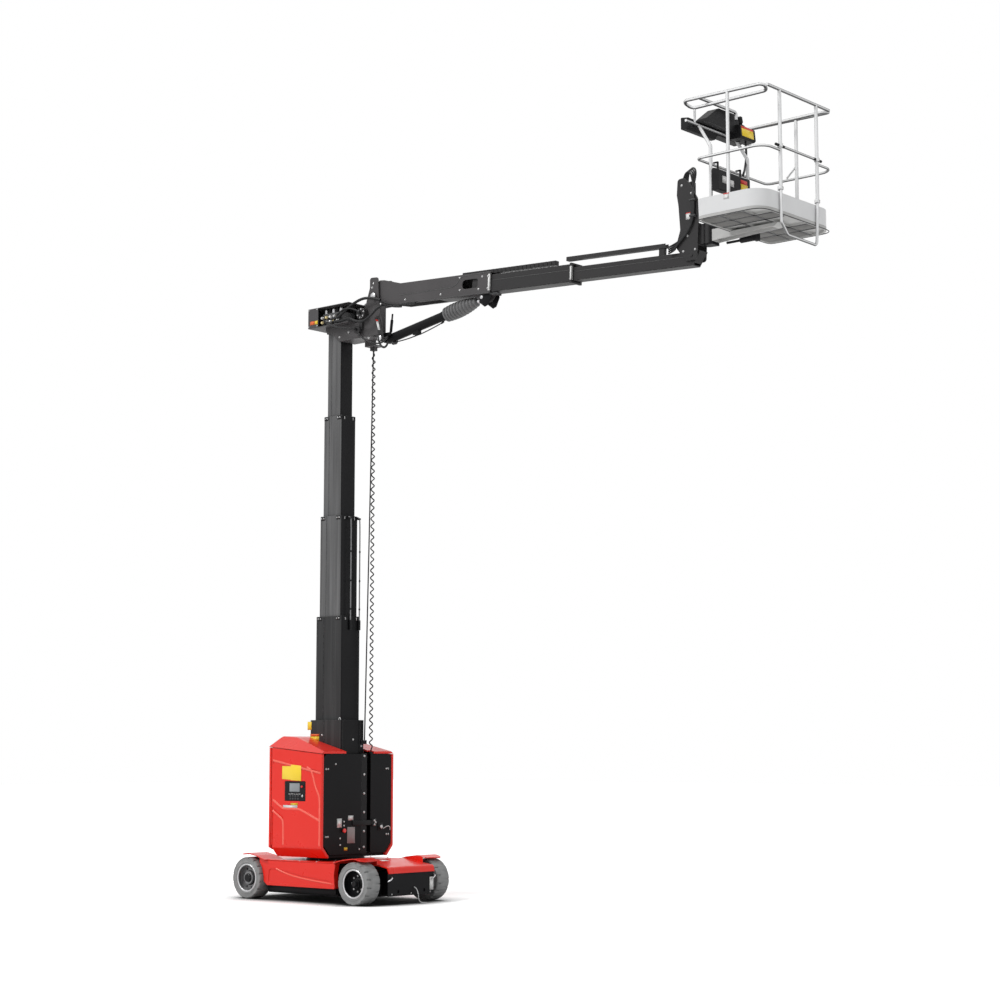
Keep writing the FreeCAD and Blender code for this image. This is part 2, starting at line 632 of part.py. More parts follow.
def head_hoses():
    """Two main hoses from the valves over the head to the jib's root."""
    first = [V(60, -198, 6120), V(170, -208, 6124), V(290, -208, 6190), V(420, -200, 6254),
             V(530, -192, 6282),
             V(640, -172, 6272), V(740, -150, 6240)]
    second = [V(90, -196, 6092), V(210, -202, 6078), V(330, -208, 6100), V(430, -210, 6046),
              V(540, -208, 6026),
              V(620, -190, 6072), V(690, -160, 6150), V(760, -140, 6186)]
    return [cord(first, 30), cord(second, 26)]


# ---- jib ----
def jib_base():
    """Root cheeks, first box section with its doubler plates, end slots and the rod-eye lugs."""
    width = BASE_BOX[0] / 2
    half = BASE_BOX[1] / 2
    body = box_tube(JIB_ROOT, BASE_END, BASE_BOX, 0)
    gap = jib_box(JIB_ROOT - 5, 900, -70, 70, -half - 5, -half + 10)
    cheek = jib_plate([(-52, 30, 40), (-40, -58, 40), (150, -80, 60), (JIB_ROOT + 10, -half),
                       (JIB_ROOT + 10, half), (110, 168, 20), (40, 172, 20), (-52, 110, 50)], -width,
                       -width + 12)
    doubler = jib_plate([(JIB_ROOT + 4, -106), (JIB_ROOT + 4, -14, 6), (1110, -6, 60), (1186, 66, 60),
                         (1260, 100, 20), (BASE_END, 100), (BASE_END, -106)], -width - 4, -width + 1)
    slot = jib_plate([(1222, -40, 46), (1222, 54, 46), (1440, 54, 30), (1440, -40, 30)], -200, 200)
    eye_plate = jib_plate([(EYE_AT - 110, -half + 1), (EYE_AT - 34, -172, 30), (EYE_AT + 34, -172, 30),
                           (EYE_AT + 84, -half + 1)], -60, -46)
    pin = rod(V(JIB_X + EYE_AT, -64, JIB_Z - EYE_DROP), V(JIB_X + EYE_AT, 64, JIB_Z - EYE_DROP), 30)
    bore = rod(V(JIB_X, -200, JIB_Z), V(JIB_X, 200, JIB_Z), 42)
    gap = gap.fuse(jib_box(JIB_ROOT - 5, 620, -80, 80, -half - 5, -half + 10))
    gap = gap.fuse(jib_box(EYE_AT - 60, EYE_AT + 60, -38, 38, -half - 5, -half + 10))
    body = fuse([body.cut(gap), both(cheek), both(doubler), both(eye_plate), pin])
    return on_jib(body.cut(slot).cut(bore))


def ribbed_tube(x0, x1, size, drop):
    """A jib section whose sides stand out below a long shoulder."""
    height = size[1]
    rib = jib_box(x0, x1, -size[0] / 2 - 3, -size[0] / 2 + 1, -drop - height / 2 + 6, -drop + height * 0.16)
    return fuse([box_tube(x0, x1, size, drop), both(rib)])


def jib_mid():
    end_frame = box_tube(MID_END - 26, MID_END, (MID_BOX[0] + 20, MID_BOX[1] + 22, 19), MID_DROP)
    return on_jib(fuse([ribbed_tube(MID_END - MID_LENGTH, MID_END, MID_BOX, MID_DROP), end_frame]))


def jib_fly():
    """Last section, with a nose that slopes up to the levelling pin."""
    half = FLY_BOX[1] / 2
    start = FLY_END - FLY_LENGTH
    body = ribbed_tube(start, FLY_END + 20, FLY_BOX, FLY_DROP)
    nose = jib_plate([(FLY_END, -FLY_DROP - half), (FLY_END + 44, -FLY_DROP - half),
                      (FLY_END + 128, half - FLY_DROP),
                      (FLY_END, half - FLY_DROP)], -FLY_BOX[0] / 2, FLY_BOX[0] / 2)
    nose = nose.cut(jib_box(FLY_END - 1, FLY_END + 60, -49, 49, -FLY_DROP - half + 8, half - FLY_DROP - 8))
    body = on_jib(fuse([body, nose]))
    return body.cut(rod(V(LEVEL_X, -200, LEVEL_Z), V(LEVEL_X, 200, LEVEL_Z), 38))


def cable_chain():
    """Energy chain lying along the top of the jib's first two sections."""
    link = 54.0
    count = 23
    rail = jib_box(1130, 1130 + link * count, 14, 56, 118, 150)
    links = [jib_box(1133 + link * n, 1133 + link * (n + 1) - 8, 8, 62, 114, 156) for n in range(count)]
    foot = jib_box(1090, 1140, 10, 60, 112.5, 130)
    return on_jib(fuse([rail, foot] + links))


def cable_tray():
    """Hose tray over the last section, carried at its front end by the section's top."""
    floor = jib_box(2560, 3760, -60, -6, 118, 122)
    walls = [jib_box(2560, 3760, y, y + 4, 118, 158) for y in (-60, -10)]
    foot = jib_box(3680, 3740, -50, -10, 48.5, 119)
    return on_jib(fuse([floor, foot] + walls))


def cylinder_line():
    """Foot of the lift cylinder, rod eye and the unit vector between them."""
    turn = FreeCAD.Rotation(AXIS_Y, JIB_TILT)
    eye = V(JIB_X, 0, JIB_Z).add(turn.multVec(V(EYE_AT, 0, -EYE_DROP)))
    foot = V(CYL_X, 0, CYL_Z)
    return foot, eye, eye.sub(foot).normalize()


def lift_cylinder():
    foot, eye, way = cylinder_line()
    body = rod(foot.add(V(way).multiply(25)), foot.add(V(way).multiply(BARREL_END)), BARREL_DIA)
    gland = ring(foot.add(V(way).multiply(BARREL_END - 40)), foot.add(V(way).multiply(BARREL_END)),
                 BARREL_DIA + 8, 52)
    eye_end = rod(V(CYL_X, -40, CYL_Z), V(CYL_X, 40, CYL_Z), 78)
    bore = rod(foot.add(V(way).multiply(120)), foot.add(V(way).multiply(900)), 52)
    pin_bore = rod(V(CYL_X, -50, CYL_Z), V(CYL_X, 50, CYL_Z), 38)
    valve = box(1090, 1168, -24, 24, 5838, 5888)
    shape = fuse([body, eye_end, valve]).cut(bore)
    return fuse([shape, gland]).cut(pin_bore)


def lift_rod():
    foot, eye, way = cylinder_line()
    bar = rod(foot.add(V(way).multiply(560)), eye.sub(V(way).multiply(20)), ROD_DIA)
    head = rod(eye.sub(V(0, 30, 0)), eye.add(V(0, 30, 0)), 52)
    return fuse([bar, head]).cut(rod(eye.sub(V(0, 50, 0)), eye.add(V(0, 50, 0)), 32))


def rod_boot():
    """Bellows round the rod, wide in the middle and open to the barrel."""
    foot, eye, way = cylinder_line()
    length = BOOT_END - BARREL_END - 6
    bore = BARREL_DIA / 2 + 10
    profile = [V(0, 0, bore), V(0, 0, bore + 4), V(length * 0.14, 0, 76), V(length * 0.4, 0, 86),
               V(length * 0.84, 0, 58), V(length, 0, 42), V(length, 0, ROD_DIA / 2 + 0.5),
               V(length - 12, 0, ROD_DIA / 2 + 0.5), V(length - 12, 0, bore)]
    shape = Part.Face(Part.makePolygon(profile + profile[:1])).revolve(V(0, 0, 0), V(1, 0, 0), 360)
    shape.Placement = FreeCAD.Placement(foot.add(V(way).multiply(BARREL_END + 6)),
                                        FreeCAD.Rotation(V(1, 0, 0), way))
    return shape


# ---- basket ----
def basket_arm():
    """Forked levelling arm with the hinge post that the basket turns on."""
    outline = [(LEVEL_X - 60, LEVEL_Z - 50, 30), (LEVEL_X + 66, LEVEL_Z - 50, 30), (LEVEL_X + 86, 6420),
               (LEVEL_X + 80, 6640, 40), (LEVEL_X - 12, 6800, 60), (LEVEL_X - 70, 6862, 30),
               (LEVEL_X - 146, 6856, 30),
               (LEVEL_X - 158, 6709, 20), (LEVEL_X - 140, 6602, 20), (LEVEL_X - 122, 6368, 60),
               (LEVEL_X - 176, 6210, 60)]
    near = side_plate(outline, -76, -66)
    far = mirrored(near).cut(box(LEVEL_X - 46, LEVEL_X + 200, 0, 200, 6420, 6900))
    back = box(LEVEL_X + 64, LEVEL_X + 76, -67, 67, 6200, 6410)
    spine = box(LEVEL_X - 110, LEVEL_X - 98, -67, 67, 6605, 6710)
    pin = rod(V(LEVEL_X, -82, LEVEL_Z), V(LEVEL_X, 82, LEVEL_Z), 36)
    post = ring(V(ROTATE_X, 0, 6204), V(ROTATE_X, 0, 6396), 90, 52)
    web = box(LEVEL_X + 70, ROTATE_X - 30, -44, 44, 6204, 6396)
    web = web.cut(rod(V(ROTATE_X, 0, 6100), V(ROTATE_X, 0, 6500), 52))
    return fuse([near, far, back, spine, pin, web, post])


def rotator():
    """Basket side of the turning joint: pin, fork plates and the plate on the floor's channel."""
    pin = rod(V(ROTATE_X, 0, 6190), V(ROTATE_X, 0, 6412), 50)
    end = CHANNEL_X - 1
    fork = [(ROTATE_X - 44, -44, 40), (ROTATE_X - 44, 44, 40), (end, 60), (end, -60)]
    post = box(end - 16, end, -60, 60, 6186, 6414)
    return fuse([pin, flat_plate(fork, 6402, 6414), flat_plate(fork, 6186, 6198), post])


def basket_plan(inset):
    x0 = BASKET_REAR + inset
    x1 = BASKET_FRONT - inset
    y = BASKET_HALF - inset
    rear = REAR_CORNER - inset
    front = FRONT_CORNER - inset
    return [(x0, -y, rear), (x1, -y, front), (x1, y, front), (x0, y, rear)]


def basket_floor():
    """Pan floor on a rim, with ribs below it and the channel that joins it to the rotator."""
    top = FLOOR_Z + FLOOR_DEPTH
    pan = flat_plate(basket_plan(0), FLOOR_Z, top)
    pan = pan.cut(flat_plate(basket_plan(22), FLOOR_Z - 1, top - 4))
    front = BASKET_FRONT - 10
    side = BASKET_HALF - 10
    ribs = [box(BASKET_REAR + 10, front, y - 12, y + 12, FLOOR_Z + 4, top - 3) for y in (-370, -190, 190,
                                                                                         370)]
    ribs += [box(x - 12, x + 12, -side, side, FLOOR_Z + 4, top - 3) for x in (5350, 5590)]
    channel = side_plate([(CHANNEL_X, 6214), (CHANNEL_X, 6322), (5096, 6322), (5108, FLOOR_Z + 2),
                          (5640, FLOOR_Z + 2), (5600, 6240, 30), (5300, 6232)], -60, 60)
    hollow = side_plate([(CHANNEL_X + 8, 6200), (CHANNEL_X + 8, 6314), (5090, 6314), (5102, FLOOR_Z - 4),
                         (5580, FLOOR_Z - 4), (5560, 6200)], -52, 52)
    return fuse([pan, channel.cut(hollow)] + ribs)


def toe_board():
    outer = flat_plate(basket_plan(0), FLOOR_Z + FLOOR_DEPTH + 0.3, TOE_TOP)
    return outer.cut(flat_plate(basket_plan(4), FLOOR_Z, TOE_TOP + 10))


def hand_loop():
    """Right-hand pair of hand rails: the outer tube and, inboard and lower, the inner one."""
    inner = 124 - RAIL_HALF
    low = RAIL_TOP - 42
    points = [V(POST_X, -RAIL_HALF, RAIL_TOP - 16), V(5790, inner, low), V(4975, inner, low),
              V(4955, -RAIL_HALF, RAIL_TOP)]
    return closed_tube(points, RAIL_DIA, 58)


def mid_rail():
    """Middle rail right round the basket, left open at the gate."""
    x0 = REAR_POST_X - 22
    y = RAIL_HALF + 14
    points = [V(POST_X, GATE[0], MID_RAIL_Z), V(POST_X, -y, MID_RAIL_Z), V(x0, -y, MID_RAIL_Z),
              V(x0, y, MID_RAIL_Z),
              V(POST_X, y, MID_RAIL_Z), V(POST_X, GATE[1], MID_RAIL_Z)]
    return tube(points, 24, [FRONT_CORNER, REAR_CORNER - 20, REAR_CORNER - 20, FRONT_CORNER])


def basket_rails():
    """Hand-rail loops, front and rear rails, middle rail, posts, console shelf and step hoop."""
    loop = hand_loop()
    outer = RAIL_HALF
    front = rod(V(POST_X, -outer + 50, RAIL_TOP - 14), V(POST_X, outer - 50, RAIL_TOP - 14), RAIL_DIA)
    rear = tube([V(REAR_POST_X, -outer, RAIL_TOP), V(REAR_POST_X, 40, RAIL_TOP), V(REAR_POST_X, 40, 7340)],
                RAIL_DIA, 90)
    pieces = [loop, mirrored(loop), front, rear, mid_rail()]
    foot = TOE_TOP - 90
    hoop_top = 6500
    for y in GATE:
        pieces.append(rod(V(POST_X, y, hoop_top - 20), V(POST_X, y, RAIL_TOP - 14), POST_DIA))
        pieces.append(box(POST_X - 26, POST_X + 10, y - 15, y + 15, hoop_top - 26, hoop_top + 10))
    for y in (-outer, outer):
        pieces.append(rod(V(5450, y, foot), V(5450, y, RAIL_TOP - 10), POST_DIA))
        pieces.append(box(5436, 5464, min(y, y * 1.05), max(y, y * 1.05), foot, foot + 60))
    for y in (-378, 216):
        pieces.append(tube([V(REAR_POST_X, y, foot), V(REAR_POST_X, y, 7000), V(SHELF_X, y, SHELF_Z)],
                           POST_DIA, 60))
    pieces.append(rod(V(SHELF_X, -576, SHELF_Z), V(SHELF_X, 460, SHELF_Z), 26))
    pieces.append(rod(V(SHELF_X, -436, SHELF_Z), V(SHELF_X, -436, RAIL_TOP - 42), 22))
    pieces.append(rod(V(SHELF_X, 436, SHELF_Z), V(SHELF_X, 436, RAIL_TOP - 42), 22))
    hoop = [V(POST_X, GATE[0], hoop_top), V(POST_X, GATE[0], 6190), V(POST_X, -212, 6088),
            V(POST_X, 262, 6080),
            V(POST_X, GATE[1] - 14, 6200), V(POST_X, GATE[1], hoop_top)]
    pieces.append(tube(hoop, HOOP_DIA, 40))
    return fuse(pieces)


def drop_bar():
    """Gate bar with a sliding eye round each front post."""
    bar = rod(V(POST_X, GATE[0] + 18, BAR_Z), V(POST_X, GATE[1] - 18, BAR_Z), 24)
    eyes = [ring(V(POST_X, y, BAR_Z - 16), V(POST_X, y, BAR_Z + 16), 50, POST_DIA + 4) for y in GATE]
    return fuse([bar] + eyes)


def console():
    """Basket controls: a long case behind the shelf's tube, a rounded hood and the control head."""
    rear = SHELF_X - 96
    face = SHELF_X - 6
    case = side_plate([(rear, 7160, 12), (face - 34, 7160, 12), (face, 7200, 10), (face, 7262, 10),
                       (rear, 7276, 10)],
                      -520, 330)
    case = case.cut(side_plate([(4800, 7100), (5300, 7100), (5300, 7196), (4800, 7196)], -60, 340))
    head = side_plate([(face - 14, 7236, 4), (5030, 7182, 8), (5142, 7182, 8), (5158, 7196, 8),
                       (5146, 7306, 14),
                       (face - 14, 7330, 14)], 84, 326)
    hood = end_plate([(-400, 7240), (-388, 7268, 30), (-200, 7404, 60), (70, 7408, 40), (138, 7352, 30),
                      (144, 7240)],
                     face - 8, SHELF_X + 96)
    body = fuse([case, head, hood])
    body = body.cut(rod(V(SHELF_X, -600, SHELF_Z), V(SHELF_X, 400, SHELF_Z), 26))
    body = body.cut(rod(V(SHELF_X, -436, 7000), V(SHELF_X, -436, 7500), POST_DIA))
    for y in (-378, 216):
        body = body.cut(tube([V(REAR_POST_X, y, 6900), V(REAR_POST_X, y, 7000),
                              V(SHELF_X - 14, y, SHELF_Z + 24)],
                             POST_DIA + 8, 60))
    return body


def control_box():
    """Smaller control cabinet hung inside the rear rail."""
    front = REAR_POST_X + 22
    body = side_plate([(front, 6575, 8), (front + 76, 6575, 8), (front + 76, 6766, 20), (front, 6794, 20)],
                      -396, 106)
    hooks = [box(REAR_POST_X - 24, front + 6, y - 10, y + 10, 6856, 6866) for y in (-300, 60)]
    straps = [box(front - 4, front + 6, y - 10, y + 10, 6750, 6860) for y in (-300, 60)]
    return fuse([body] + hooks + straps)


# ---- cords ----
def curly_cord():
    return rod(V(CURLY[0], CURLY[1], 1521), V(CURLY[0], CURLY[1], CORD_TOP), CURLY_DIA)


def mast_cable():
    return rod(V(259, 150, 1646), V(350, 150, HEAD_Z - 51), CABLE_DIA)


def ground_strap():
    """Limp static strap from the bumper plate down to the floor."""
    points = [V(1087, 40, 168), V(1112, 42, 160), V(1128, 50, 124), V(1130, 60, 80), V(1130, 66, 38),
              V(1134, 92, 12), V(1140, 132, 7), V(1146, 172, 7)]
    return cord(points, STRAP_DIA)


def main():
    os.makedirs("parts", exist_ok=True)
    save("chassis_frame", chassis_frame())
    save("chassis_deck", chassis_deck())
    save("skirt_right", side_skirt())
    save("skirt_left", mirrored(side_skirt()))
    save("front_plate", front_plate())
    save("rear_plate", rear_plate())
    save("battery_pack", battery_pack())
    save("slew_ring", slew_ring())
    save("rear_axle", rear_axle())
    save("front_axle", front_axle())
    save("knuckle_right", knuckle())
    save("knuckle_left", mirrored(knuckle()))
    for hand, side in (("right", -1), ("left", 1)):
        save("tyre_front_" + hand, tyre(FRONT_AXLE, side))
        save("tyre_rear_" + hand, tyre(REAR_AXLE, side))
        save("rim_front_" + hand, rim(FRONT_AXLE, side, 515, 96))
        save("rim_rear_" + hand, rim(REAR_AXLE, side, 528, 132))
    save("turret_base", turret_base())
    save("mast_base", mast_base())
    save("door_right", side_door(True))
    save("door_left", mirrored(side_door(False)))
    save("rear_cover", rear_cover())
    save("top_cover", top_cover())
    save("front_panel_right", front_panel_right())
    save("front_panel_left", front_panel_left())
    save("mast_column", mast_column())
    save("counterweight", counterweight())
    save("control_panel", control_panel())
    for index in range(len(STAGES)):
        save("mast_stage_" + str(index + 1), mast_stage(index))
    save("mast_head", mast_head())
    save("valve_box", valve_box())
    save("valve_block", valve_block())
    save("head_motor", head_motor())
    save("level_cylinder", level_cylinder())
    save("head_hoses", Part.makeCompound(head_hoses()))
    save("jib_base", jib_base())
    save("jib_mid", jib_mid())
    save("jib_fly", jib_fly())
    save("cable_chain", cable_chain())
    save("cable_tray", cable_tray())
    save("lift_cylinder", lift_cylinder())
    save("lift_rod", lift_rod())
    save("rod_boot", rod_boot())
    save("basket_arm", basket_arm())
    save("rotator", rotator())
    save("basket_floor", basket_floor())
    save("toe_board", toe_board())
    save("basket_rails", basket_rails())
    save("drop_bar", drop_bar())
    save("console", console())
    save("control_box", control_box())
    save("curly_cord", curly_cord())
    save("mast_cable", mast_cable())
    save("ground_strap", ground_strap())
    print("shift", X_SHIFT)


main()
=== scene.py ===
import json
import math

import bpy
from mathutils import Matrix, Vector


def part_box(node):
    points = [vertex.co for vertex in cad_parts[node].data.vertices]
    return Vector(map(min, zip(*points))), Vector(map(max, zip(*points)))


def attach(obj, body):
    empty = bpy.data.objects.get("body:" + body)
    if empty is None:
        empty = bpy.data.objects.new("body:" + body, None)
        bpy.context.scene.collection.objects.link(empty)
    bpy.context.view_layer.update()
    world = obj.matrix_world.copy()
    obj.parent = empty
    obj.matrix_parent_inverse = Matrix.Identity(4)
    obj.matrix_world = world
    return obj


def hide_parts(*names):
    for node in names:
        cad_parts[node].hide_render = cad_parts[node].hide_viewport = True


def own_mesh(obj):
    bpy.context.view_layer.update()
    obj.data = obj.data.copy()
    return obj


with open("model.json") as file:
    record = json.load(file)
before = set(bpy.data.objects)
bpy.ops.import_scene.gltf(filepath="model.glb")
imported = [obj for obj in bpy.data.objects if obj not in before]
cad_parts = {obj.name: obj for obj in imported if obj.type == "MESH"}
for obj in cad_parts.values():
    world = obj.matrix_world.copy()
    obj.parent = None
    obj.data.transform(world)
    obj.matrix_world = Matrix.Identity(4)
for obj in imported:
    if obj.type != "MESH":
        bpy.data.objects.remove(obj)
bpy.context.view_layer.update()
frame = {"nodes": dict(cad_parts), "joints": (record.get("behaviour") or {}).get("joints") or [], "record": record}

# ---- places, taken from the frame ----
# X is measured from the slewing axis; at() moves it into the frame.
AXIS_X = (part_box("slew_ring")[0][0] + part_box("slew_ring")[1][0]) / 2


def at(x, y, z):
    return Vector((x + AXIS_X, y, z))


def low(node, axis):
    """Lowest coordinate of a CAD node, with X measured from the slewing axis."""
    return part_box(node)[0][axis] - (AXIS_X if axis == 0 else 0.0)


def high(node, axis):
    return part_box(node)[1][axis] - (AXIS_X if axis == 0 else 0.0)


JOINTS = {joint["name"]: joint for joint in frame["joints"]}
FLANK_Y = low("door_right", 1)           # outer face of the right-hand turret flank
FACE_X = high("front_panel_right", 0)    # black front sheets
SLEEVE_X = 0.230                         # front of the mast's outer sleeve
SLEEVE_Y = -0.170                        # its right-hand side
HEAD_Y = -0.114                          # right-hand cheek of the mast head
ARM_Y = -0.076                           # right-hand side of the levelling arm
JIB_PIVOT = Vector(JOINTS["jib_lift"]["pos_m"])
JIB_AXIS = Vector(JOINTS["jib_mid_slide"]["axis"])
JIB_UP = Vector((-JIB_AXIS.z, 0, JIB_AXIS.x))
JIB_TILT = math.atan2(-JIB_AXIS.z, JIB_AXIS.x)
BASE_Y, MID_Y = low("jib_base", 1), low("jib_mid", 1)
LIFT_EYE = Vector(JOINTS["rod_swing"]["pos_m"])      # pin of the lift cylinder's rod
LIFT_FOOT = at(0.707, 0, 5.840)                      # pin of its barrel
LIFT_AXIS = (LIFT_EYE - LIFT_FOOT).normalized()
FIT = 0.0002                                         # gap under a label or a plate


def on_jib(along, y, up):
    """A point given along the jib from its pivot, across, and up from its centre line."""
    return JIB_PIVOT + JIB_AXIS * along + JIB_UP * up + Vector((0, y, 0))


def ring_of(count, radius, first=0.0):
    """Places evenly round a circle, the first one at an angle in degrees."""
    angles = [math.radians(first + 360 * number / count) for number in range(count)]
    return [(radius * math.cos(angle), radius * math.sin(angle)) for angle in angles]


def centre_of(name):
    """Middle of a CAD node's box, as a point of the frame."""
    corner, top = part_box(name)
    return (Vector(corner) + Vector(top)) / 2


# ---- shader groups ----
def new_group(name, inputs, outputs):
    group = bpy.data.node_groups.new(name, "ShaderNodeTree")
    for label, kind, value in inputs:
        socket = group.interface.new_socket(label, in_out="INPUT", socket_type="NodeSocket" + kind)
        socket.default_value = value
    for label, kind in outputs:
        group.interface.new_socket(label, in_out="OUTPUT", socket_type="NodeSocket" + kind)
    return group, group.nodes.new("NodeGroupInput"), group.nodes.new("NodeGroupOutput")


def node(tree, kind, **settings):
    made = tree.nodes.new("ShaderNode" + kind)
    for key, value in settings.items():
        setattr(made, key, value)
    return made


def noise(tree, coordinates, scale, detail=4.0):
    made = node(tree, "TexNoise")
    made.inputs["Detail"].default_value = detail
    if isinstance(scale, (int, float)):
        made.inputs["Scale"].default_value = scale
    else:
        tree.links.new(scale, made.inputs["Scale"])
    tree.links.new(coordinates, made.inputs["Vector"])
    return made.outputs["Fac"]


def remap(tree, value, start, end, to_start=0.0, to_end=1.0):
    made = node(tree, "MapRange")
    for label, number in (("From Min", start), ("From Max", end), ("To Min", to_start), ("To Max", to_end)):
        made.inputs[label].default_value = number
    tree.links.new(value, made.inputs["Value"])
    return made.outputs["Result"]


def math_of(tree, operation, first, second):
    made = node(tree, "Math", operation=operation)
    for socket, value in zip(made.inputs, (first, second)):
        if isinstance(value, (int, float)):
            socket.default_value = value
        else:
            tree.links.new(value, socket)
    return made.outputs["Value"]


def mix_colour(tree, factor, first, second, blend="MIX"):
    made = node(tree, "Mix", data_type="RGBA", blend_type=blend)
    for socket, value in ((made.inputs[0], factor), (made.inputs[6], first), (made.inputs[7], second)):
        if isinstance(value, (int, float, tuple)):
            socket.default_value = value
        else:
            tree.links.new(value, socket)
    return made.outputs[2]


def weathering_and_glints_group():
    """Mottling, dust on upward faces, and edges lightened partly as wear and partly as painted highlights. Gives a
    colour and a roughness.
    """
    inputs = [("Base", "Color", (0.5, 0.5, 0.5, 1)), ("Dust Colour", "Color", (0.45, 0.42, 0.38, 1)),
              ("Dust", "Float", 0.2), ("Edge Colour", "Color", (0.5, 0.5, 0.5, 1)), ("Edge", "Float", 0.2),
              ("Mottle", "Float", 0.1), ("Roughness", "Float", 0.4), ("Scale", "Float", 4.0)]
    group, given, out = new_group("weathering_and_glints", inputs, [("Color", "Color"), ("Roughness", "Float")])
    links = group.links
    where = node(group, "TexCoord").outputs["Object"]
    broad = noise(group, where, given.outputs["Scale"])
    fine = noise(group, where, 46.0, 6.0)
    dark = mix_colour(group, 1.0, given.outputs["Base"], (0.72, 0.72, 0.72, 1), "MULTIPLY")
    patches = math_of(group, "MULTIPLY", remap(group, broad, 0.35, 0.7), given.outputs["Mottle"])
    paint = mix_colour(group, patches, given.outputs["Base"], dark)
    geometry = node(group, "NewGeometry")
    split = node(group, "SeparateXYZ")
    links.new(geometry.outputs["Normal"], split.inputs[0])
    upward = remap(group, split.outputs["Z"], 0.55, 1.0)
    settled = math_of(group, "MULTIPLY", upward, remap(group, fine, 0.3, 0.75))
    dusty = math_of(group, "MULTIPLY", settled, given.outputs["Dust"])
    paint = mix_colour(group, dusty, paint, given.outputs["Dust Colour"])
    rounded = node(group, "Bevel", samples=4)
    rounded.inputs["Radius"].default_value = 0.004
    facing = node(group, "VectorMath", operation="DOT_PRODUCT")
    links.new(rounded.outputs["Normal"], facing.inputs[0])
    links.new(geometry.outputs["Normal"], facing.inputs[1])
    # rounded edges turn to the edge colour: partly wear, partly a painted highlight where an edge would catch the
    # light
    edge = remap(group, facing.outputs["Value"], 0.99, 0.80)
    worn_and_glinting = math_of(group, "MULTIPLY", math_of(group, "MULTIPLY", edge, remap(group, fine, 0.38, 0.62)),
                   given.outputs["Edge"])
    links.new(mix_colour(group, worn_and_glinting, paint, given.outputs["Edge Colour"]), out.inputs["Color"])
    rough = math_of(group, "ADD", given.outputs["Roughness"], remap(group, broad, 0.3, 0.7, -0.05, 0.06))
    rough = math_of(group, "ADD", rough, math_of(group, "MULTIPLY", dusty, 0.5))
    links.new(rough, out.inputs["Roughness"])
    return group


def grain_group():
    """Fine surface relief over edges that are rounded to the light."""
    inputs = [("Scale", "Float", 300.0), ("Strength", "Float", 0.1), ("Depth", "Float", 0.0004)]
    group, given, out = new_group("grain", inputs, [("Normal", "Vector")])
    where = node(group, "TexCoord").outputs["Object"]
    rounded = node(group, "Bevel", samples=4)
    rounded.inputs["Radius"].default_value = 0.007
    bump = node(group, "Bump")
    group.links.new(rounded.outputs["Normal"], bump.inputs["Normal"])
    group.links.new(noise(group, where, given.outputs["Scale"], 3.0), bump.inputs["Height"])
    group.links.new(given.outputs["Strength"], bump.inputs["Strength"])
    group.links.new(given.outputs["Depth"], bump.inputs["Distance"])
    group.links.new(bump.outputs["Normal"], out.inputs["Normal"])
    return group


WEATHERING_AND_GLINTS = weathering_and_glints_group()
GRAIN = grain_group()


def painted_side_sheen(tree, colour, flank):
    """Painted sheen: the colour, lightened in upright streaks towards the flank colour on faces that look left or
    right, as light glancing off the sides.
    """
    place = node(tree, "TexCoord")
    split = node(tree, "SeparateXYZ")
    tree.links.new(place.outputs["Normal"], split.inputs[0])
    sideways = remap(tree, math_of(tree, "ABSOLUTE", split.outputs["Y"], 0.0), 0.80, 0.95)
    stretch = node(tree, "Mapping")
    stretch.inputs["Scale"].default_value = (9, 9, 0.25)
    tree.links.new(place.outputs["Object"], stretch.inputs["Vector"])
    sheen_streaks = remap(tree, noise(tree, stretch.outputs["Vector"], 3.0), 0.35, 0.65, 0.6, 1.0)
    return mix_colour(tree, math_of(tree, "MULTIPLY", sideways, sheen_streaks), (*colour, 1), (*flank, 1))


def shaded_rim(tree, skin, rim):
    """The skin, turning to the rim colour underneath and where it is seen at a grazing angle."""
    under = node(tree, "SeparateXYZ")
    tree.links.new(node(tree, "NewGeometry").outputs["Normal"], under.inputs[0])
    weight = remap(tree, node(tree, "LayerWeight").outputs["Facing"], 0.40, 0.75)
    weight = math_of(tree, "MAXIMUM", weight, remap(tree, under.outputs["Z"], -0.25, -0.75))
    return mix_colour(tree, weight, skin, (*rim, 1))


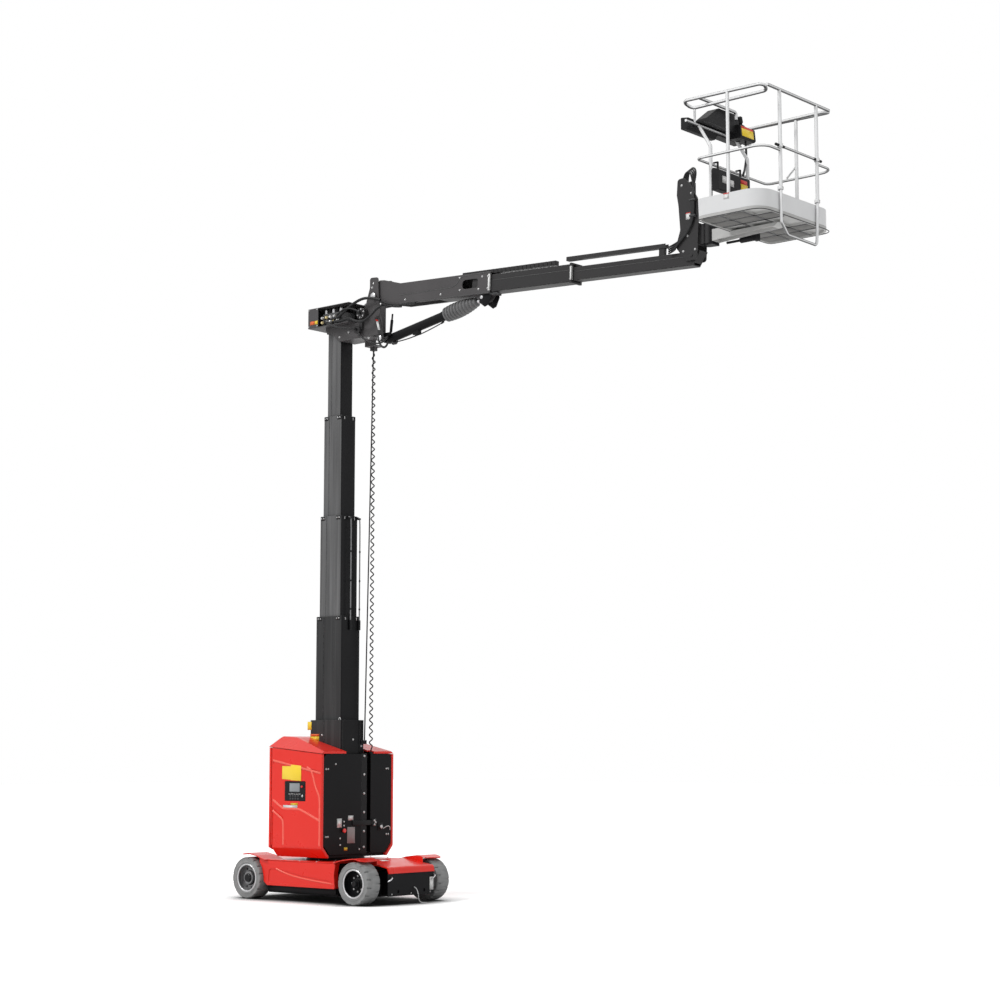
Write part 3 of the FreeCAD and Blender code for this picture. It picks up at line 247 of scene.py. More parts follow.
def finish_material(name, colour, roughness, metallic=0.0, coat=0.0, dust=0.15, edge=0.25, edge_colour=None,
                    mottle=0.15, scale=4.0, grain=300.0, relief=0.08, depth=0.0004, shine=0.5,
                    flank=None, rim=None):
    """A Principled material whose colour, roughness and relief come from the shared groups; the colour has dust,
    mottling and edges lightened partly as wear and partly as painted highlights. A flank colour paints a streaked
    sheen on the left and right faces; a rim colour paints shade on undersides and grazing angles."""
    material = bpy.data.materials.new(name)
    material.use_nodes = True
    tree = material.node_tree
    shader = tree.nodes["Principled BSDF"]
    # this node gives the dust, the mottling and the lightened edges, the edges partly wear and partly painted
    # highlight
    wear = node(tree, "Group", node_tree=WEATHERING_AND_GLINTS)
    wear.inputs["Base"].default_value = (*colour, 1)
    wear.inputs["Edge Colour"].default_value = (*(edge_colour or [min(1, c * 1.6 + 0.05) for c in colour]), 1)
    for label, value in (("Dust", dust), ("Edge", edge), ("Mottle", mottle), ("Roughness", roughness),
                         ("Scale", scale)):
        wear.inputs[label].default_value = value
    if flank:
        tree.links.new(painted_side_sheen(tree, colour, flank), wear.inputs["Base"])
    skin = wear.outputs["Color"]
    if rim:
        skin = shaded_rim(tree, skin, rim)
    tree.links.new(skin, shader.inputs["Base Color"])
    tree.links.new(wear.outputs["Roughness"], shader.inputs["Roughness"])
    relief_node = node(tree, "Group", node_tree=GRAIN)
    for label, value in (("Scale", grain), ("Strength", relief), ("Depth", depth)):
        relief_node.inputs[label].default_value = value
    tree.links.new(relief_node.outputs["Normal"], shader.inputs["Normal"])
    shader.inputs["Metallic"].default_value = metallic
    shader.inputs["Coat Weight"].default_value = coat
    shader.inputs["Coat Roughness"].default_value = 0.12
    shader.inputs["Specular IOR Level"].default_value = shine
    return material


# how each finish looks; the labels are blank and differ in colour only. Each finish's edge colour lightens its
# edges, partly as wear and partly as a painted highlight where the edges catch the light
LABEL = dict(roughness=0.4, dust=0.05, edge=0.0, relief=0.02)
LOOKS = {
    "red_paint": dict(colour=(0.80, 0.020, 0.010), roughness=0.30, coat=0.25, dust=0.03, edge=0.3,
                      edge_colour=(1.0, 0.22, 0.14), mottle=0.08, shine=0.25),
    "black_paint": dict(colour=(0.009, 0.009, 0.010), roughness=0.42, dust=0.06, edge=0.7,
                        edge_colour=(0.10, 0.10, 0.105), shine=0.10),
    "mast_steel": dict(colour=(0.012, 0.012, 0.013), roughness=0.36, dust=0.08, edge=0.8,
                       edge_colour=(0.16, 0.16, 0.165), mottle=0.3, scale=2.0, shine=0.14),
    # the flank colour of the two mast finishes is a painted sheen: lighter streaks on the faces that look left and
    # right
    "mast_lower": dict(colour=(0.008, 0.008, 0.009), roughness=0.36, dust=0.08, edge=0.9,
                       edge_colour=(0.20, 0.20, 0.205), mottle=0.3, scale=2.0, shine=0.12,
                       flank=(0.052, 0.052, 0.053)),
    "mast_upper": dict(colour=(0.010, 0.010, 0.011), roughness=0.36, dust=0.08, edge=0.9,
                       edge_colour=(0.20, 0.20, 0.205), mottle=0.3, scale=2.0, shine=0.12,
                       flank=(0.155, 0.155, 0.157)),
    "tyre_grey": dict(colour=(0.27, 0.273, 0.273), roughness=0.72, dust=0.2, edge=0.6,
                      edge_colour=(0.60, 0.60, 0.59), mottle=0.5, scale=14.0, relief=0.3, shine=0.3),
    "silver_steel": dict(colour=(0.62, 0.62, 0.63), roughness=0.30, metallic=0.9, dust=0.1, mottle=0.3,
                         scale=18.0),
    "white_paint": dict(colour=(0.73, 0.735, 0.74), roughness=0.42, dust=0.05, edge=0.3,
                        edge_colour=(0.95, 0.95, 0.95), mottle=0.15, shine=0.3),
    "black_plastic": dict(colour=(0.012, 0.012, 0.013), roughness=0.48, dust=0.08, grain=900.0, relief=0.25,
                          edge=0.6, edge_colour=(0.12, 0.12, 0.12), shine=0.15),
    "rubber": dict(colour=(0.013, 0.013, 0.014), roughness=0.42, dust=0.1, grain=700.0, relief=0.15,
                   shine=0.3),
    "cast_mass": dict(colour=(0.03, 0.03, 0.032), roughness=0.7, grain=120.0, relief=0.5),
    "chrome_rod": dict(colour=(0.78, 0.78, 0.80), roughness=0.12, metallic=1.0, dust=0.02, edge=0.0),
    # jib_lit_grey below is a lighter copy of jib_black; its extra lightness is painted light on the jib's root and
    # the mast head
    "jib_black": dict(colour=(0.034, 0.033, 0.034), roughness=0.42, dust=0.2, edge=0.9,
                      edge_colour=(0.22, 0.22, 0.22), mottle=0.5, scale=3.0, shine=0.2),
    "jib_lit_grey": dict(colour=(0.082, 0.078, 0.080), roughness=0.42, dust=0.2, edge=0.9,
                     edge_colour=(0.26, 0.26, 0.26), mottle=0.6, scale=3.0, shine=0.2),
    # rail_white's rim colour is painted shade under the tubes and along their grazing sides
    "rail_white": dict(colour=(0.88, 0.885, 0.89), roughness=0.3, dust=0.0, edge=0.0, mottle=0.05,
                       shine=0.4, rim=(0.06, 0.06, 0.062)),
    "under_grey": dict(colour=(0.50, 0.50, 0.49), roughness=0.5, dust=0.0, mottle=0.6, scale=5.0, shine=0.3),
    "rim_grey": dict(colour=(0.22, 0.22, 0.225), roughness=0.35, metallic=0.4, dust=0.1, mottle=0.4,
                     scale=20.0),
    "zinc": dict(colour=(0.52, 0.52, 0.52), roughness=0.35, metallic=0.7, dust=0.1, mottle=0.2, scale=30.0),
    "brass": dict(colour=(0.75, 0.62, 0.33), roughness=0.30, metallic=0.8, dust=0.05, scale=30.0),
    "dark_grey": dict(colour=(0.055, 0.056, 0.058), roughness=0.45, shine=0.25),
    "floor_grey": dict(colour=(0.16, 0.158, 0.152), roughness=0.6, dust=0.0, mottle=0.5, scale=9.0,
                       shine=0.2),
    "plate_grey": dict(colour=(0.26, 0.23, 0.23), roughness=0.45, dust=0.1, mottle=0.4, scale=60.0),
    "boot_grey": dict(colour=(0.13, 0.13, 0.132), roughness=0.55, dust=0.4, mottle=0.2, edge=0.9,
                      edge_colour=(0.42, 0.42, 0.42)),
    # fold_highlight_red is a lighter, glossier copy of red_paint; its extra lightness paints the highlight along
    # the pressed creases
    "fold_highlight_red": dict(colour=(0.92, 0.11, 0.07), roughness=0.25, coat=0.4, dust=0.0, edge=0.5,
                     edge_colour=(1.0, 0.45, 0.38), mottle=0.0),
    "screen_glass": dict(colour=(0.24, 0.26, 0.27), roughness=0.12, coat=0.6, dust=0.0, edge=0.0, relief=0.0),
    "signal_red": dict(colour=(0.75, 0.02, 0.015), roughness=0.3, coat=0.4, dust=0.02, edge=0.0),
    "edge_grey": dict(colour=(0.085, 0.085, 0.087), roughness=0.35, dust=0.3),
    "label_white": dict(colour=(0.86, 0.86, 0.85), **LABEL),
    "label_yellow": dict(colour=(0.93, 0.66, 0.03), **LABEL),
    "label_orange": dict(colour=(0.90, 0.16, 0.03), **LABEL),
    "label_red": dict(colour=(0.75, 0.03, 0.02), **LABEL),
}
MATERIALS = {name: finish_material(name, **look) for name, look in LOOKS.items()}

# nodes whose finish differs from their slot's: jib_black is lighter and more weathered than black_paint;
# jib_lit_grey is a lighter copy of jib_black, its extra lightness painted light on the jib's root and the mast
# head; the mast finishes paint a sheen on their left and right faces; rail_white paints shade under its tubes; the
# rest are colours of their own
FINISHES = {"jib_black": ("jib_mid", "jib_fly", "cable_chain", "cable_tray", "basket_arm", "head_motor"),
            "jib_lit_grey": ("jib_base", "mast_head", "valve_box"),
            "mast_lower": ("mast_base", "mast_stage_1"),
            "mast_upper": ("mast_stage_2", "mast_stage_3", "mast_stage_4"),
            "rail_white": ("basket_rails", "drop_bar"), "under_grey": ("basket_floor",),
            "edge_grey": ("valve_block",), "rim_grey": ("rim_rear_right", "rim_rear_left")}


# ---- pieces that the frame holds ----
def dress_nodes():
    """Gives every CAD node the material of its slot, or the finish that is set for it above."""
    slots = {part["node"]: part["material_slot"] for part in frame["record"]["subparts"]}
    slots.update({name: finish for finish, names in FINISHES.items() for name in names})
    for name, obj in frame["nodes"].items():
        obj.data.materials.clear()
        obj.data.materials.append(MATERIALS[slots[name]])


# ---- selecting ----
def deselect():
    if bpy.context.object and bpy.context.object.mode == "EDIT":
        bpy.ops.object.mode_set(mode="OBJECT")
    bpy.ops.object.select_all(action="DESELECT")


def only(obj):
    """Selects one object and makes it the active one."""
    deselect()
    obj.select_set(True)
    bpy.context.view_layer.objects.active = obj


def spline_curve(name, points, radius, material):
    """A round cord whose centre line is one NURBS spline through the route's points."""
    curve = bpy.data.curves.new(name, "CURVE")
    curve.dimensions = "3D"
    spline = curve.splines.new("NURBS")
    spline.points.add(len(points) - 1)
    for control, point in zip(spline.points, points):
        control.co = (*point, 1)
    spline.order_u = 3
    spline.use_endpoint_u = True
    curve.resolution_u = 6
    curve.bevel_depth = radius
    curve.bevel_resolution = 3
    curve.use_fill_caps = True
    curve.materials.append(material)
    obj = bpy.data.objects.new(name, curve)
    bpy.context.scene.collection.objects.link(obj)
    return obj


def spline_line(name, points):
    """The smooth centre line of a route, as evenly followed points."""
    line = spline_curve(name + "_line", points, 0.0, MATERIALS["rubber"])
    mesh = bpy.data.meshes.new_from_object(line)
    path = [vertex.co.copy() for vertex in mesh.vertices]
    bpy.data.meshes.remove(mesh)
    bpy.data.objects.remove(line)
    return path


def as_mesh(obj):
    """Turns a curve piece into a mesh piece."""
    only(obj)
    bpy.ops.object.convert(target="MESH")
    return bpy.context.view_layer.objects.active


def curly_cord():
    """Spiral supply cord hanging along the mast."""
    corner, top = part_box("curly_cord")
    x, y = centre_of("curly_cord")[:2]
    wire = 0.0068
    coil = (top[0] - corner[0]) / 2 - wire - 0.001
    pitch = 0.078
    straight = 0.05
    steps = 12
    turns = int((top[2] - corner[2] - 2 * straight) / pitch)
    rise = (top[2] - corner[2] - 2 * straight) / turns
    points = [Vector((x, y, corner[2])), Vector((x, y, corner[2] + straight / 2))]
    for step in range(turns * steps + 1):
        angle = 2 * math.pi * step / steps
        height = corner[2] + straight + rise * step / steps
        points.append(Vector((x + coil * math.cos(angle), y + coil * math.sin(angle), height)))
    points += [Vector((x, y, top[2] - straight / 2)), Vector((x, y, top[2]))]
    path = spline_line("curly", points)
    curve = spline_curve("coiled_supply_cord", points, wire, MATERIALS["rubber"])
    curve.data.resolution_u = 2
    curve.data.bevel_resolution = 1
    piece = as_mesh(curve)
    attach(piece, "turret")
    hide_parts("curly_cord")
    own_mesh(piece)


def mast_cable():
    """Straight cable drawn tight between the sleeve's clamp and the head."""
    route = [at(0.259, 0.150, 1.646), at(0.3045, 0.150, 3.740), at(0.350, 0.150, 5.834)]
    path = spline_line("cable", route)
    radius = 0.007
    piece = as_mesh(spline_curve("mast_supply_cable", route, radius, MATERIALS["rubber"]))
    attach(piece, "turret")
    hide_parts("mast_cable")
    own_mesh(piece)


def ground_strap():
    """Limp static strap hanging from the bumper to the floor."""
    route = [at(1.087, 0.040, 0.168), at(1.112, 0.042, 0.160), at(1.128, 0.050, 0.124),
             at(1.130, 0.060, 0.080), at(1.130, 0.066, 0.038), at(1.134, 0.092, 0.012),
             at(1.140, 0.132, 0.007), at(1.146, 0.172, 0.007)]
    radius = 0.0045
    piece = spline_curve("static_strap", route, radius, MATERIALS["white_paint"])
    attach(piece, "chassis")
    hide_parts("ground_strap")


# ---- making pieces ----
def grown(obj):
    """Applies an object's place to its mesh, with normals outward and gentle bends smooth."""
    only(obj)
    bpy.ops.object.transform_apply(location=True, rotation=True, scale=True)
    bpy.ops.object.mode_set(mode="EDIT")
    bpy.ops.mesh.select_all(action="SELECT")
    bpy.ops.mesh.normals_make_consistent(inside=False)
    bpy.ops.object.mode_set(mode="OBJECT")
    bpy.ops.object.shade_smooth_by_angle(angle=math.radians(38))
    return obj


def eased(obj, soft, steps):
    """Rounds every edge of the active object."""
    bpy.ops.object.mode_set(mode="EDIT")
    bpy.ops.mesh.select_all(action="SELECT")
    bpy.ops.mesh.normals_make_consistent(inside=False)
    bpy.ops.mesh.bevel(offset=soft, segments=steps, affect="EDGES")
    bpy.ops.object.mode_set(mode="OBJECT")
    return obj


def block(low_corner, high_corner, soft=0.002, steps=2):
    """A block between two corners, its edges eased."""
    deselect()
    low_corner, high_corner = Vector(low_corner), Vector(high_corner)
    bpy.ops.mesh.primitive_cube_add(size=1, location=(low_corner + high_corner) / 2)
    obj = bpy.context.object
    obj.scale = high_corner - low_corner
    bpy.ops.object.transform_apply(location=True, rotation=True, scale=True)
    eased(obj, min(soft, 0.45 * min(high_corner - low_corner)), steps)
    return grown(obj)


def turned(profile, start, axis, sides=20):
    """A turned part. The profile is (distance along the axis, radius) from its start; one that
    ends where it began is a ring, and any other is closed by its two end faces."""
    deselect()
    hollow = profile[0] == profile[-1]
    bpy.ops.mesh.primitive_circle_add(vertices=sides, radius=profile[0][1],
                                      fill_type="NOTHING" if hollow else "NGON")
    obj = bpy.context.object
    bpy.ops.object.mode_set(mode="EDIT")
    bpy.ops.mesh.select_all(action="SELECT")
    bpy.ops.transform.translate(value=(0, 0, profile[0][0]))
    for (before, small), (after, large) in zip(profile, profile[1:]):
        bpy.ops.mesh.extrude_region_move(TRANSFORM_OT_translate={"value": (0, 0, after - before)})
        bpy.ops.transform.resize(value=(large / small, large / small, 1), center_override=(0, 0, after))
    if hollow:
        bpy.ops.mesh.select_all(action="SELECT")
        bpy.ops.mesh.remove_doubles(threshold=0.00001)
    bpy.ops.object.mode_set(mode="OBJECT")
    obj.rotation_euler = Vector(axis).to_track_quat("Z", "Y").to_euler()
    obj.location = start
    return grown(obj)


def outline_plate(corners, place, depth, soft=0.0015):
    """A plate whose outline has the given corners; place turns a corner into a point."""
    deselect()
    bpy.ops.mesh.primitive_circle_add(vertices=len(corners), radius=1, fill_type="NGON")
    obj = bpy.context.object
    for vertex, corner in zip(obj.data.vertices, corners):
        vertex.co = place(*corner)
    bpy.ops.object.mode_set(mode="EDIT")
    bpy.ops.mesh.select_all(action="SELECT")
    bpy.ops.mesh.extrude_region_move(TRANSFORM_OT_translate={"value": depth})
    bpy.ops.object.mode_set(mode="OBJECT")
    eased(obj, soft, 2)
    return grown(obj)


def bolt(centre, axis, radius=0.009):
    """Hexagon screw head on a washer."""
    washer = turned([(0, radius * 1.5), (radius * 0.25, radius * 1.5), (radius * 0.3, radius * 1.35)],
                    centre, axis)
    head = turned([(radius * 0.2, radius * 1.05), (radius * 0.85, radius * 1.05),
                   (radius * 1.0, radius * 0.85)],
                  centre, axis, sides=6)
    return joined([washer, head])


def joined(parts):
    """Several parts as one object, the first."""
    deselect()
    for part in parts:
        part.select_set(True)
    bpy.context.view_layer.objects.active = parts[0]
    if len(parts) > 1:
        bpy.ops.object.join()
    return bpy.context.view_layer.objects.active


def repeated(obj, shifts):
    """Copies of one part, each moved by a shift, as one object with it."""
    parts = [obj]
    for shift in shifts:
        extra = obj.copy()
        extra.data = obj.data.copy()
        bpy.context.scene.collection.objects.link(extra)
        extra.data.transform(Matrix.Translation(shift))
        parts.append(extra)
    return joined(parts)


def bolts(places, axis, radius=0.009):
    """One screw head at each of the places, as one object."""
    first = Vector(places[0])
    return repeated(bolt(first, axis, radius), [Vector(place) - first for place in places[1:]])


def piece(name, body, material, parts, replaces=()):
    """Names the parts as one piece, gives it a material and puts it on a body."""
    obj = joined(parts if isinstance(parts, list) else [parts])
    obj.name = name
    obj.data.name = name
    obj.data.materials.clear()
    obj.data.materials.append(MATERIALS[material])
    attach(obj, body)
    if replaces:
        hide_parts(*replaces)
    return obj


def hose(points, radius=0.008, ends=0.0):
    """A clipped hose or pipe along a smooth route, with a crimped fitting at each end if wanted."""
    parts = [as_mesh(spline_curve("hose", points, radius, MATERIALS["rubber"]))]
    if ends:
        for tip, inner in ((points[0], points[1]), (points[-1], points[-2])):
            way = (Vector(inner) - Vector(tip)).normalized()
            parts.append(turned([(-0.004, ends * 0.8), (0.0, ends), (0.03, ends), (0.036, ends * 0.8)], tip,
                                way, 12))
    return joined(parts)


def side_patch(x0, x1, z0, z1, side, proud=0.0014, soft=0.0005):
    """A label or plate on a face that looks to the right and lies at the given Y."""
    return block(at(x0, side - proud, z0), at(x1, side - FIT, z1), soft)


def front_patch(y0, y1, z0, z1, face, proud=0.0014, soft=0.0005):
    """A label or plate on a face that looks to the front and lies at the given X."""
    return block(at(face + FIT, y0, z0), at(face + proud, y1, z1), soft)


# ---- turret ----
def ground_controls():
    """Display, keys and stop button in the flank's window, with the flap above it."""
    piece("display_screen", "door_right", "screen_glass",
          block(at(-0.160, FLANK_Y + 0.0005, 1.114), at(-0.006, FLANK_Y + 0.004, 1.202), 0.001))
    keys = [block(at(x, FLANK_Y - 0.005, z), at(x + 0.022, FLANK_Y - 0.0015, z + 0.018), 0.002)
            for z in (1.062, 1.034) for x in (-0.150, -0.112, -0.074, -0.036)]
    piece("display_keys", "door_right", "dark_grey", keys)
    piece("display_stop", "door_right", "signal_red",
          turned([(0, 0.006), (0.010, 0.006), (0.012, 0.012), (0.018, 0.013), (0.022, 0.010)],
                 at(0.044, FLANK_Y - 0.0022, 1.168), (0, -1, 0)))
    piece("key_switch", "door_right", "zinc",
          turned([(0, 0.013), (0.005, 0.013), (0.006, 0.010), (0.009, 0.009)],
                 at(0.040, FLANK_Y - 0.0022, 1.072), (0, -1, 0)))
    flap = [(-0.268, 1.243), (-0.139, 1.236), (-0.139, 1.231), (0.016, 1.225), (0.016, 1.382),
            (-0.139, 1.393), (-0.139, 1.377), (-0.268, 1.376)]
    piece("warning_flap", "door_right", "label_yellow",
          outline_plate(flap, lambda x, z: at(x, FLANK_Y - 0.0035, z), (0, 0.0033, 0)))
    piece("display_line", "door_right", "label_white",
          [block(at(x, FLANK_Y - 0.0035, 1.088), at(x + 0.030, FLANK_Y - 0.0022, 1.093), 0.0004)
           for x in (-0.168, -0.130, -0.092, -0.054, -0.016)])
    piece("flank_label", "door_right", "label_white",
          side_patch(-0.249, -0.035, 0.943, 0.976, FLANK_Y, 0.0012))
    piece("flank_label_top", "door_right", "label_yellow",
          side_patch(-0.137, -0.031, 0.976, 0.998, FLANK_Y, 0.0012))
    piece("low_label", "turret", "label_yellow", front_patch(-0.196, -0.148, 0.512, 0.545, FACE_X, 0.0012))


def bead(points, radius, proud=0.3):
    """A pressed ridge: a rounded bead half sunk into the sheet that it lies on."""
    line = as_mesh(spline_curve("bead", points, radius, MATERIALS["rubber"]))
    level = points[0][1]
    only(line)
    bpy.ops.object.mode_set(mode="EDIT")
    bpy.ops.mesh.select_all(action="SELECT")
    bpy.ops.transform.resize(value=(1, proud, 1), center_override=(0, level, 0))
    bpy.ops.object.mode_set(mode="OBJECT")
    return grown(line)


def pressed_folds():
    """Folds pressed into the right-hand flank and the skirt, matched on the other side; their lighter red is a
    painted highlight along each crease.
    """
    flank_folds = [
        [(-0.410, 1.436), (-0.200, 1.399), (0.040, 1.354), (0.300, 1.308)],
        [(-0.405, 1.028), (-0.378, 1.013), (-0.262, 0.944), (-0.240, 0.940), (-0.027, 0.940), (0.010, 0.934),
         (0.170, 0.873), (0.300, 0.820)],
        [(-0.410, 0.918), (-0.300, 0.855), (-0.262, 0.831), (-0.248, 0.800), (-0.246, 0.760),
         (-0.244, 0.570)],
        [(0.100, 1.366), (0.154, 1.350), (0.190, 1.280), (0.224, 1.176), (0.262, 1.110), (0.290, 1.060),
         (0.292, 0.900), (0.292, 0.570)],
    ]
    skirt_fold = [(-0.306, 0.324), (-0.200, 0.288), (-0.058, 0.257), (0.120, 0.234), (0.274, 0.218),
                  (0.530, 0.199)]
    skirt = high("skirt_left", 1)
    for name, hand in (("right", -1), ("left", 1)):
        level = hand * -FLANK_Y
        piece("flank_folds_" + name, "door_" + name, "fold_highlight_red",
              [bead([at(x, level, z) for x, z in fold], 0.011) for fold in flank_folds])
        piece("skirt_fold_" + name, "chassis", "fold_highlight_red",
              bead([at(x, hand * (skirt - 0.008 if x > -0.28 else skirt), z) for x, z in skirt_fold], 0.009,
                   1.0))


def front_hardware():
    """Screws, labels, socket, knob and latch bar on the turret's black front."""
    singles = [(-0.325, 1.398), (0.026, 0.520), (-0.253, 0.638), (-0.252, 0.572), (-0.199, 0.808),
               (-0.198, 0.767)]
    pairs = [(y + shift, z) for y, z in ((-0.449, 1.348), (-0.444, 0.659), (0.435, 1.347), (0.442, 0.663))
             for shift in (-0.014, 0.014)]
    piece("front_screws", "turret", "zinc",
          bolts([at(FACE_X, y, z) for y, z in singles + pairs], (1, 0, 0), 0.007))
    strip = high("mast_column", 0)
    column = [at(strip, 0.094, z) for z in (1.480, 1.289, 1.093, 0.899, 0.704, 0.540)]
    piece("column_bolts", "turret", "zinc", bolts(column, (1, 0, 0), 0.009))
    piece("front_labels", "turret", "label_white",
          [front_patch(-0.299, -0.232, 0.749, 0.842, FACE_X, 0.0012),
           front_patch(-0.140, -0.066, 0.821, 0.869, FACE_X, 0.0012)])
    piece("data_plate", "turret", "plate_grey",
          front_patch(-0.153, -0.041, 0.585, 0.752, FACE_X, 0.003, 0.001))
    piece("data_plate_rivets", "turret", "zinc",
          bolts([at(FACE_X + 0.003, y, z) for y in (-0.147, -0.047) for z in (0.591, 0.746)], (1, 0, 0),
                0.0022))
    piece("front_stop", "turret", "signal_red",
          turned([(0, 0.012), (0.014, 0.012), (0.016, 0.021), (0.026, 0.023), (0.032, 0.018)],
                 at(FACE_X, -0.213, 0.718), (1, 0, 0)))
    latch = [block(at(strip + 0.002, -0.081, 0.765), at(strip + 0.014, 0.216, 0.815), 0.003),
             block(at(strip + 0.002, 0.196, 0.752), at(strip + 0.022, 0.262, 0.827), 0.004),
             block(at(FACE_X + 0.0005, -0.081, 0.775), at(strip + 0.004, -0.061, 0.805), 0.001)]
    piece("latch_bar", "turret", "mast_steel", latch)
    piece("latch_bolts", "turret", "zinc",
          bolts([at(strip + 0.022, 0.230, z) for z in (0.809, 0.767)] + [at(strip + 0.0225, 0.245, 0.79)],
                (1, 0, 0), 0.008))
    piece("charge_socket", "turret", "black_plastic",
          [turned([(0, 0.034), (0.012, 0.034), (0.016, 0.030), (0.018, 0.024)], at(FACE_X, 0.335, 0.744),
                  (1, 0, 0)),
           block(at(FACE_X + 0.0005, 0.296, 0.705), at(FACE_X + 0.006, 0.374, 0.783), 0.003)])
    piece("socket_cap", "turret", "zinc",
          turned([(0, 0.019), (0.004, 0.019), (0.006, 0.016)], at(FACE_X + 0.018, 0.335, 0.744), (1, 0, 0)))
    cord = hose([at(FACE_X + 0.006, 0.372, 0.722), at(FACE_X + 0.020, 0.400, 0.742),
                 at(FACE_X + 0.022, 0.440, 0.752), at(FACE_X + 0.014, 0.470, 0.735),
                 at(FACE_X + 0.006, 0.480, 0.705)], 0.0035)
    piece("socket_lanyard", "turret", "label_white", cord)


def sleeve_trim():
    """Bolts, labels and hook round the top of the mast's outer sleeve."""
    side, face = SLEEVE_Y, SLEEVE_X
    piece("sleeve_label_orange", "turret", "label_orange", side_patch(-0.226, -0.092, 1.684, 1.710, side))
    piece("sleeve_labels_yellow", "turret", "label_yellow",
          [side_patch(-0.226, -0.092, 1.628, 1.684, side),
           side_patch(-0.268, -0.208, 1.752, 1.838, side, 0.0024)])
    piece("sleeve_side_bolt", "turret", "zinc", bolts([at(-0.048, side, 1.697)], (0, -1, 0), 0.008))
    piece("sleeve_face_bolts", "turret", "zinc",
          bolts([at(face, y, z) for y, z in ((0.007, 1.651), (0.131, 1.583))], (1, 0, 0), 0.008))
    ribs = [block(at(face - 0.001, y - 0.008, 1.47), at(face + 0.006, y + 0.008, 1.850), 0.003)
            for y in (-0.152, 0.105)]
    piece("sleeve_ribs", "turret", "mast_steel", ribs)
    hook = hose([at(0.212, -0.160, 1.852), at(0.214, -0.162, 1.872), at(0.206, -0.166, 1.880),
                 at(0.196, -0.168, 1.872), at(0.194, -0.168, 1.856)], 0.004)
    piece("sleeve_hook", "turret", "zinc", hook)


def mast_trim():
    """Wear-pad carriers and screws at the top of each stage, with the hose pair and its guides."""
    pad_half, proud = 0.030, 0.004
    for stage in (1, 2, 3):
        section = "mast_stage_%d" % stage
        half_x, half_y, top = high(section, 0), high(section, 1), high(section, 2)
        spread = half_x * 0.72
        carriers = [block(at(x - pad_half, hand * half_y - proud, top - 0.044),
                          at(x + pad_half, hand * half_y + proud, top - 0.004), 0.002)
                    for hand in (-1, 1) for x in (-spread, spread)]
        screws = [at(x + shift, -half_y - proud, top - 0.024)
                  for x in (-spread, spread) for shift in (-0.016, 0.016)]
        face = [at(half_x, y, top - down) for y in (-half_y * 0.6, half_y * 0.6) for down in (0.02, 0.034)]
        body = "mast_%d" % stage
        piece("stage_%d_pads" % stage, body, "black_plastic", carriers)
        piece("stage_%d_pad_screws" % stage, body, "zinc", bolts(screws, (0, -1, 0), 0.006))
        piece("stage_%d_front_screws" % stage, body, "zinc", bolts(face, (1, 0, 0), 0.005))
    lanes, hose_x = (-0.020, 0.112), 0.205
    lines = [hose([at(0.166, y, 4.000), at(0.192, y, 3.996), at(hose_x, y, 3.960), at(hose_x, y, 3.400),
                   at(hose_x, y, 2.850)], 0.0070) for y in lanes]
    piece("mast_hoses", "mast_2", "rim_grey", lines)
    clips = [block(at(0.1605, y - 0.016, 3.974), at(0.2045, y + 0.016, 3.992), 0.003) for y in lanes]
    collar = [(0, 0.0072), (0.002, 0.0092), (0.018, 0.0092), (0.020, 0.0072)]
    clips += [turned(collar, at(hose_x, y, z), (0, 0, 1), 14) for y in lanes for z in (3.620, 3.310, 3.010)]
    piece("mast_hose_clips", "mast_2", "black_plastic", clips)
    guide = [(0, 0.0105), (0.002, 0.0135), (0.102, 0.0135), (0.104, 0.0105), (0, 0.0105)]
    guides = [turned(guide, at(hose_x, y, 2.800), (0, 0, 1), 16) for y in lanes]
    piece("mast_hose_guides", "mast_1", "mast_steel", guides)


# ---- chassis ----
def deck_trim():
    """Screws round the turret, blank labels, tie-down hooks and the rails underneath."""
    deck = high("slew_ring", 2) - 0.020
    ringed = [at(x, y, deck) for x, y in ring_of(12, 0.345, 15)]
    edge = [at(x, y, deck) for x in (-0.50, -0.25, 0.0, 0.25, 0.50) for y in (-0.52, 0.52)]
    piece("deck_screws", "chassis", "zinc", bolts(ringed + edge, (0, 0, 1), 0.006))
    front = high("front_plate", 0)
    piece("bumper_label", "chassis", "label_white", front_patch(0.273, 0.330, 0.127, 0.258, front))
    hooks = []
    for y in (-0.311, 0.318):
        hooks.append(hose([at(front - 0.004, y - 0.026, 0.236), at(front + 0.016, y - 0.022, 0.240),
                           at(front + 0.030, y, 0.262), at(front + 0.016, y + 0.022, 0.276),
                           at(front - 0.004, y + 0.022, 0.280)], 0.007))
    piece("bumper_hooks", "chassis", "silver_steel", hooks)
    piece("bumper_screws", "chassis", "zinc",
          bolts([at(front, y, 0.108) for y in (-0.28, 0.0, 0.28)], (1, 0, 0), 0.005))
    side = low("skirt_right", 1)
    piece("skirt_label", "chassis", "label_yellow", side_patch(-0.328, -0.231, 0.180, 0.262, side + 0.008))
    back, crest, slope = 0.72, 0.4277, 0.1478
    piece("bonnet_label", "chassis", "label_white",
          outline_plate([(-0.10, back), (0.0, back), (0.0, 0.78), (-0.10, 0.78)],
                        lambda y, x: at(x, y, crest - (x - back) * slope), (0, 0, 0.0014), 0.0004))
    piece("rail_underneath", "chassis", "black_paint",
          [block(at(-0.46, y - 0.014, 0.092), at(0.54, y + 0.014, 0.148), 0.004) for y in (-0.516, 0.516)])


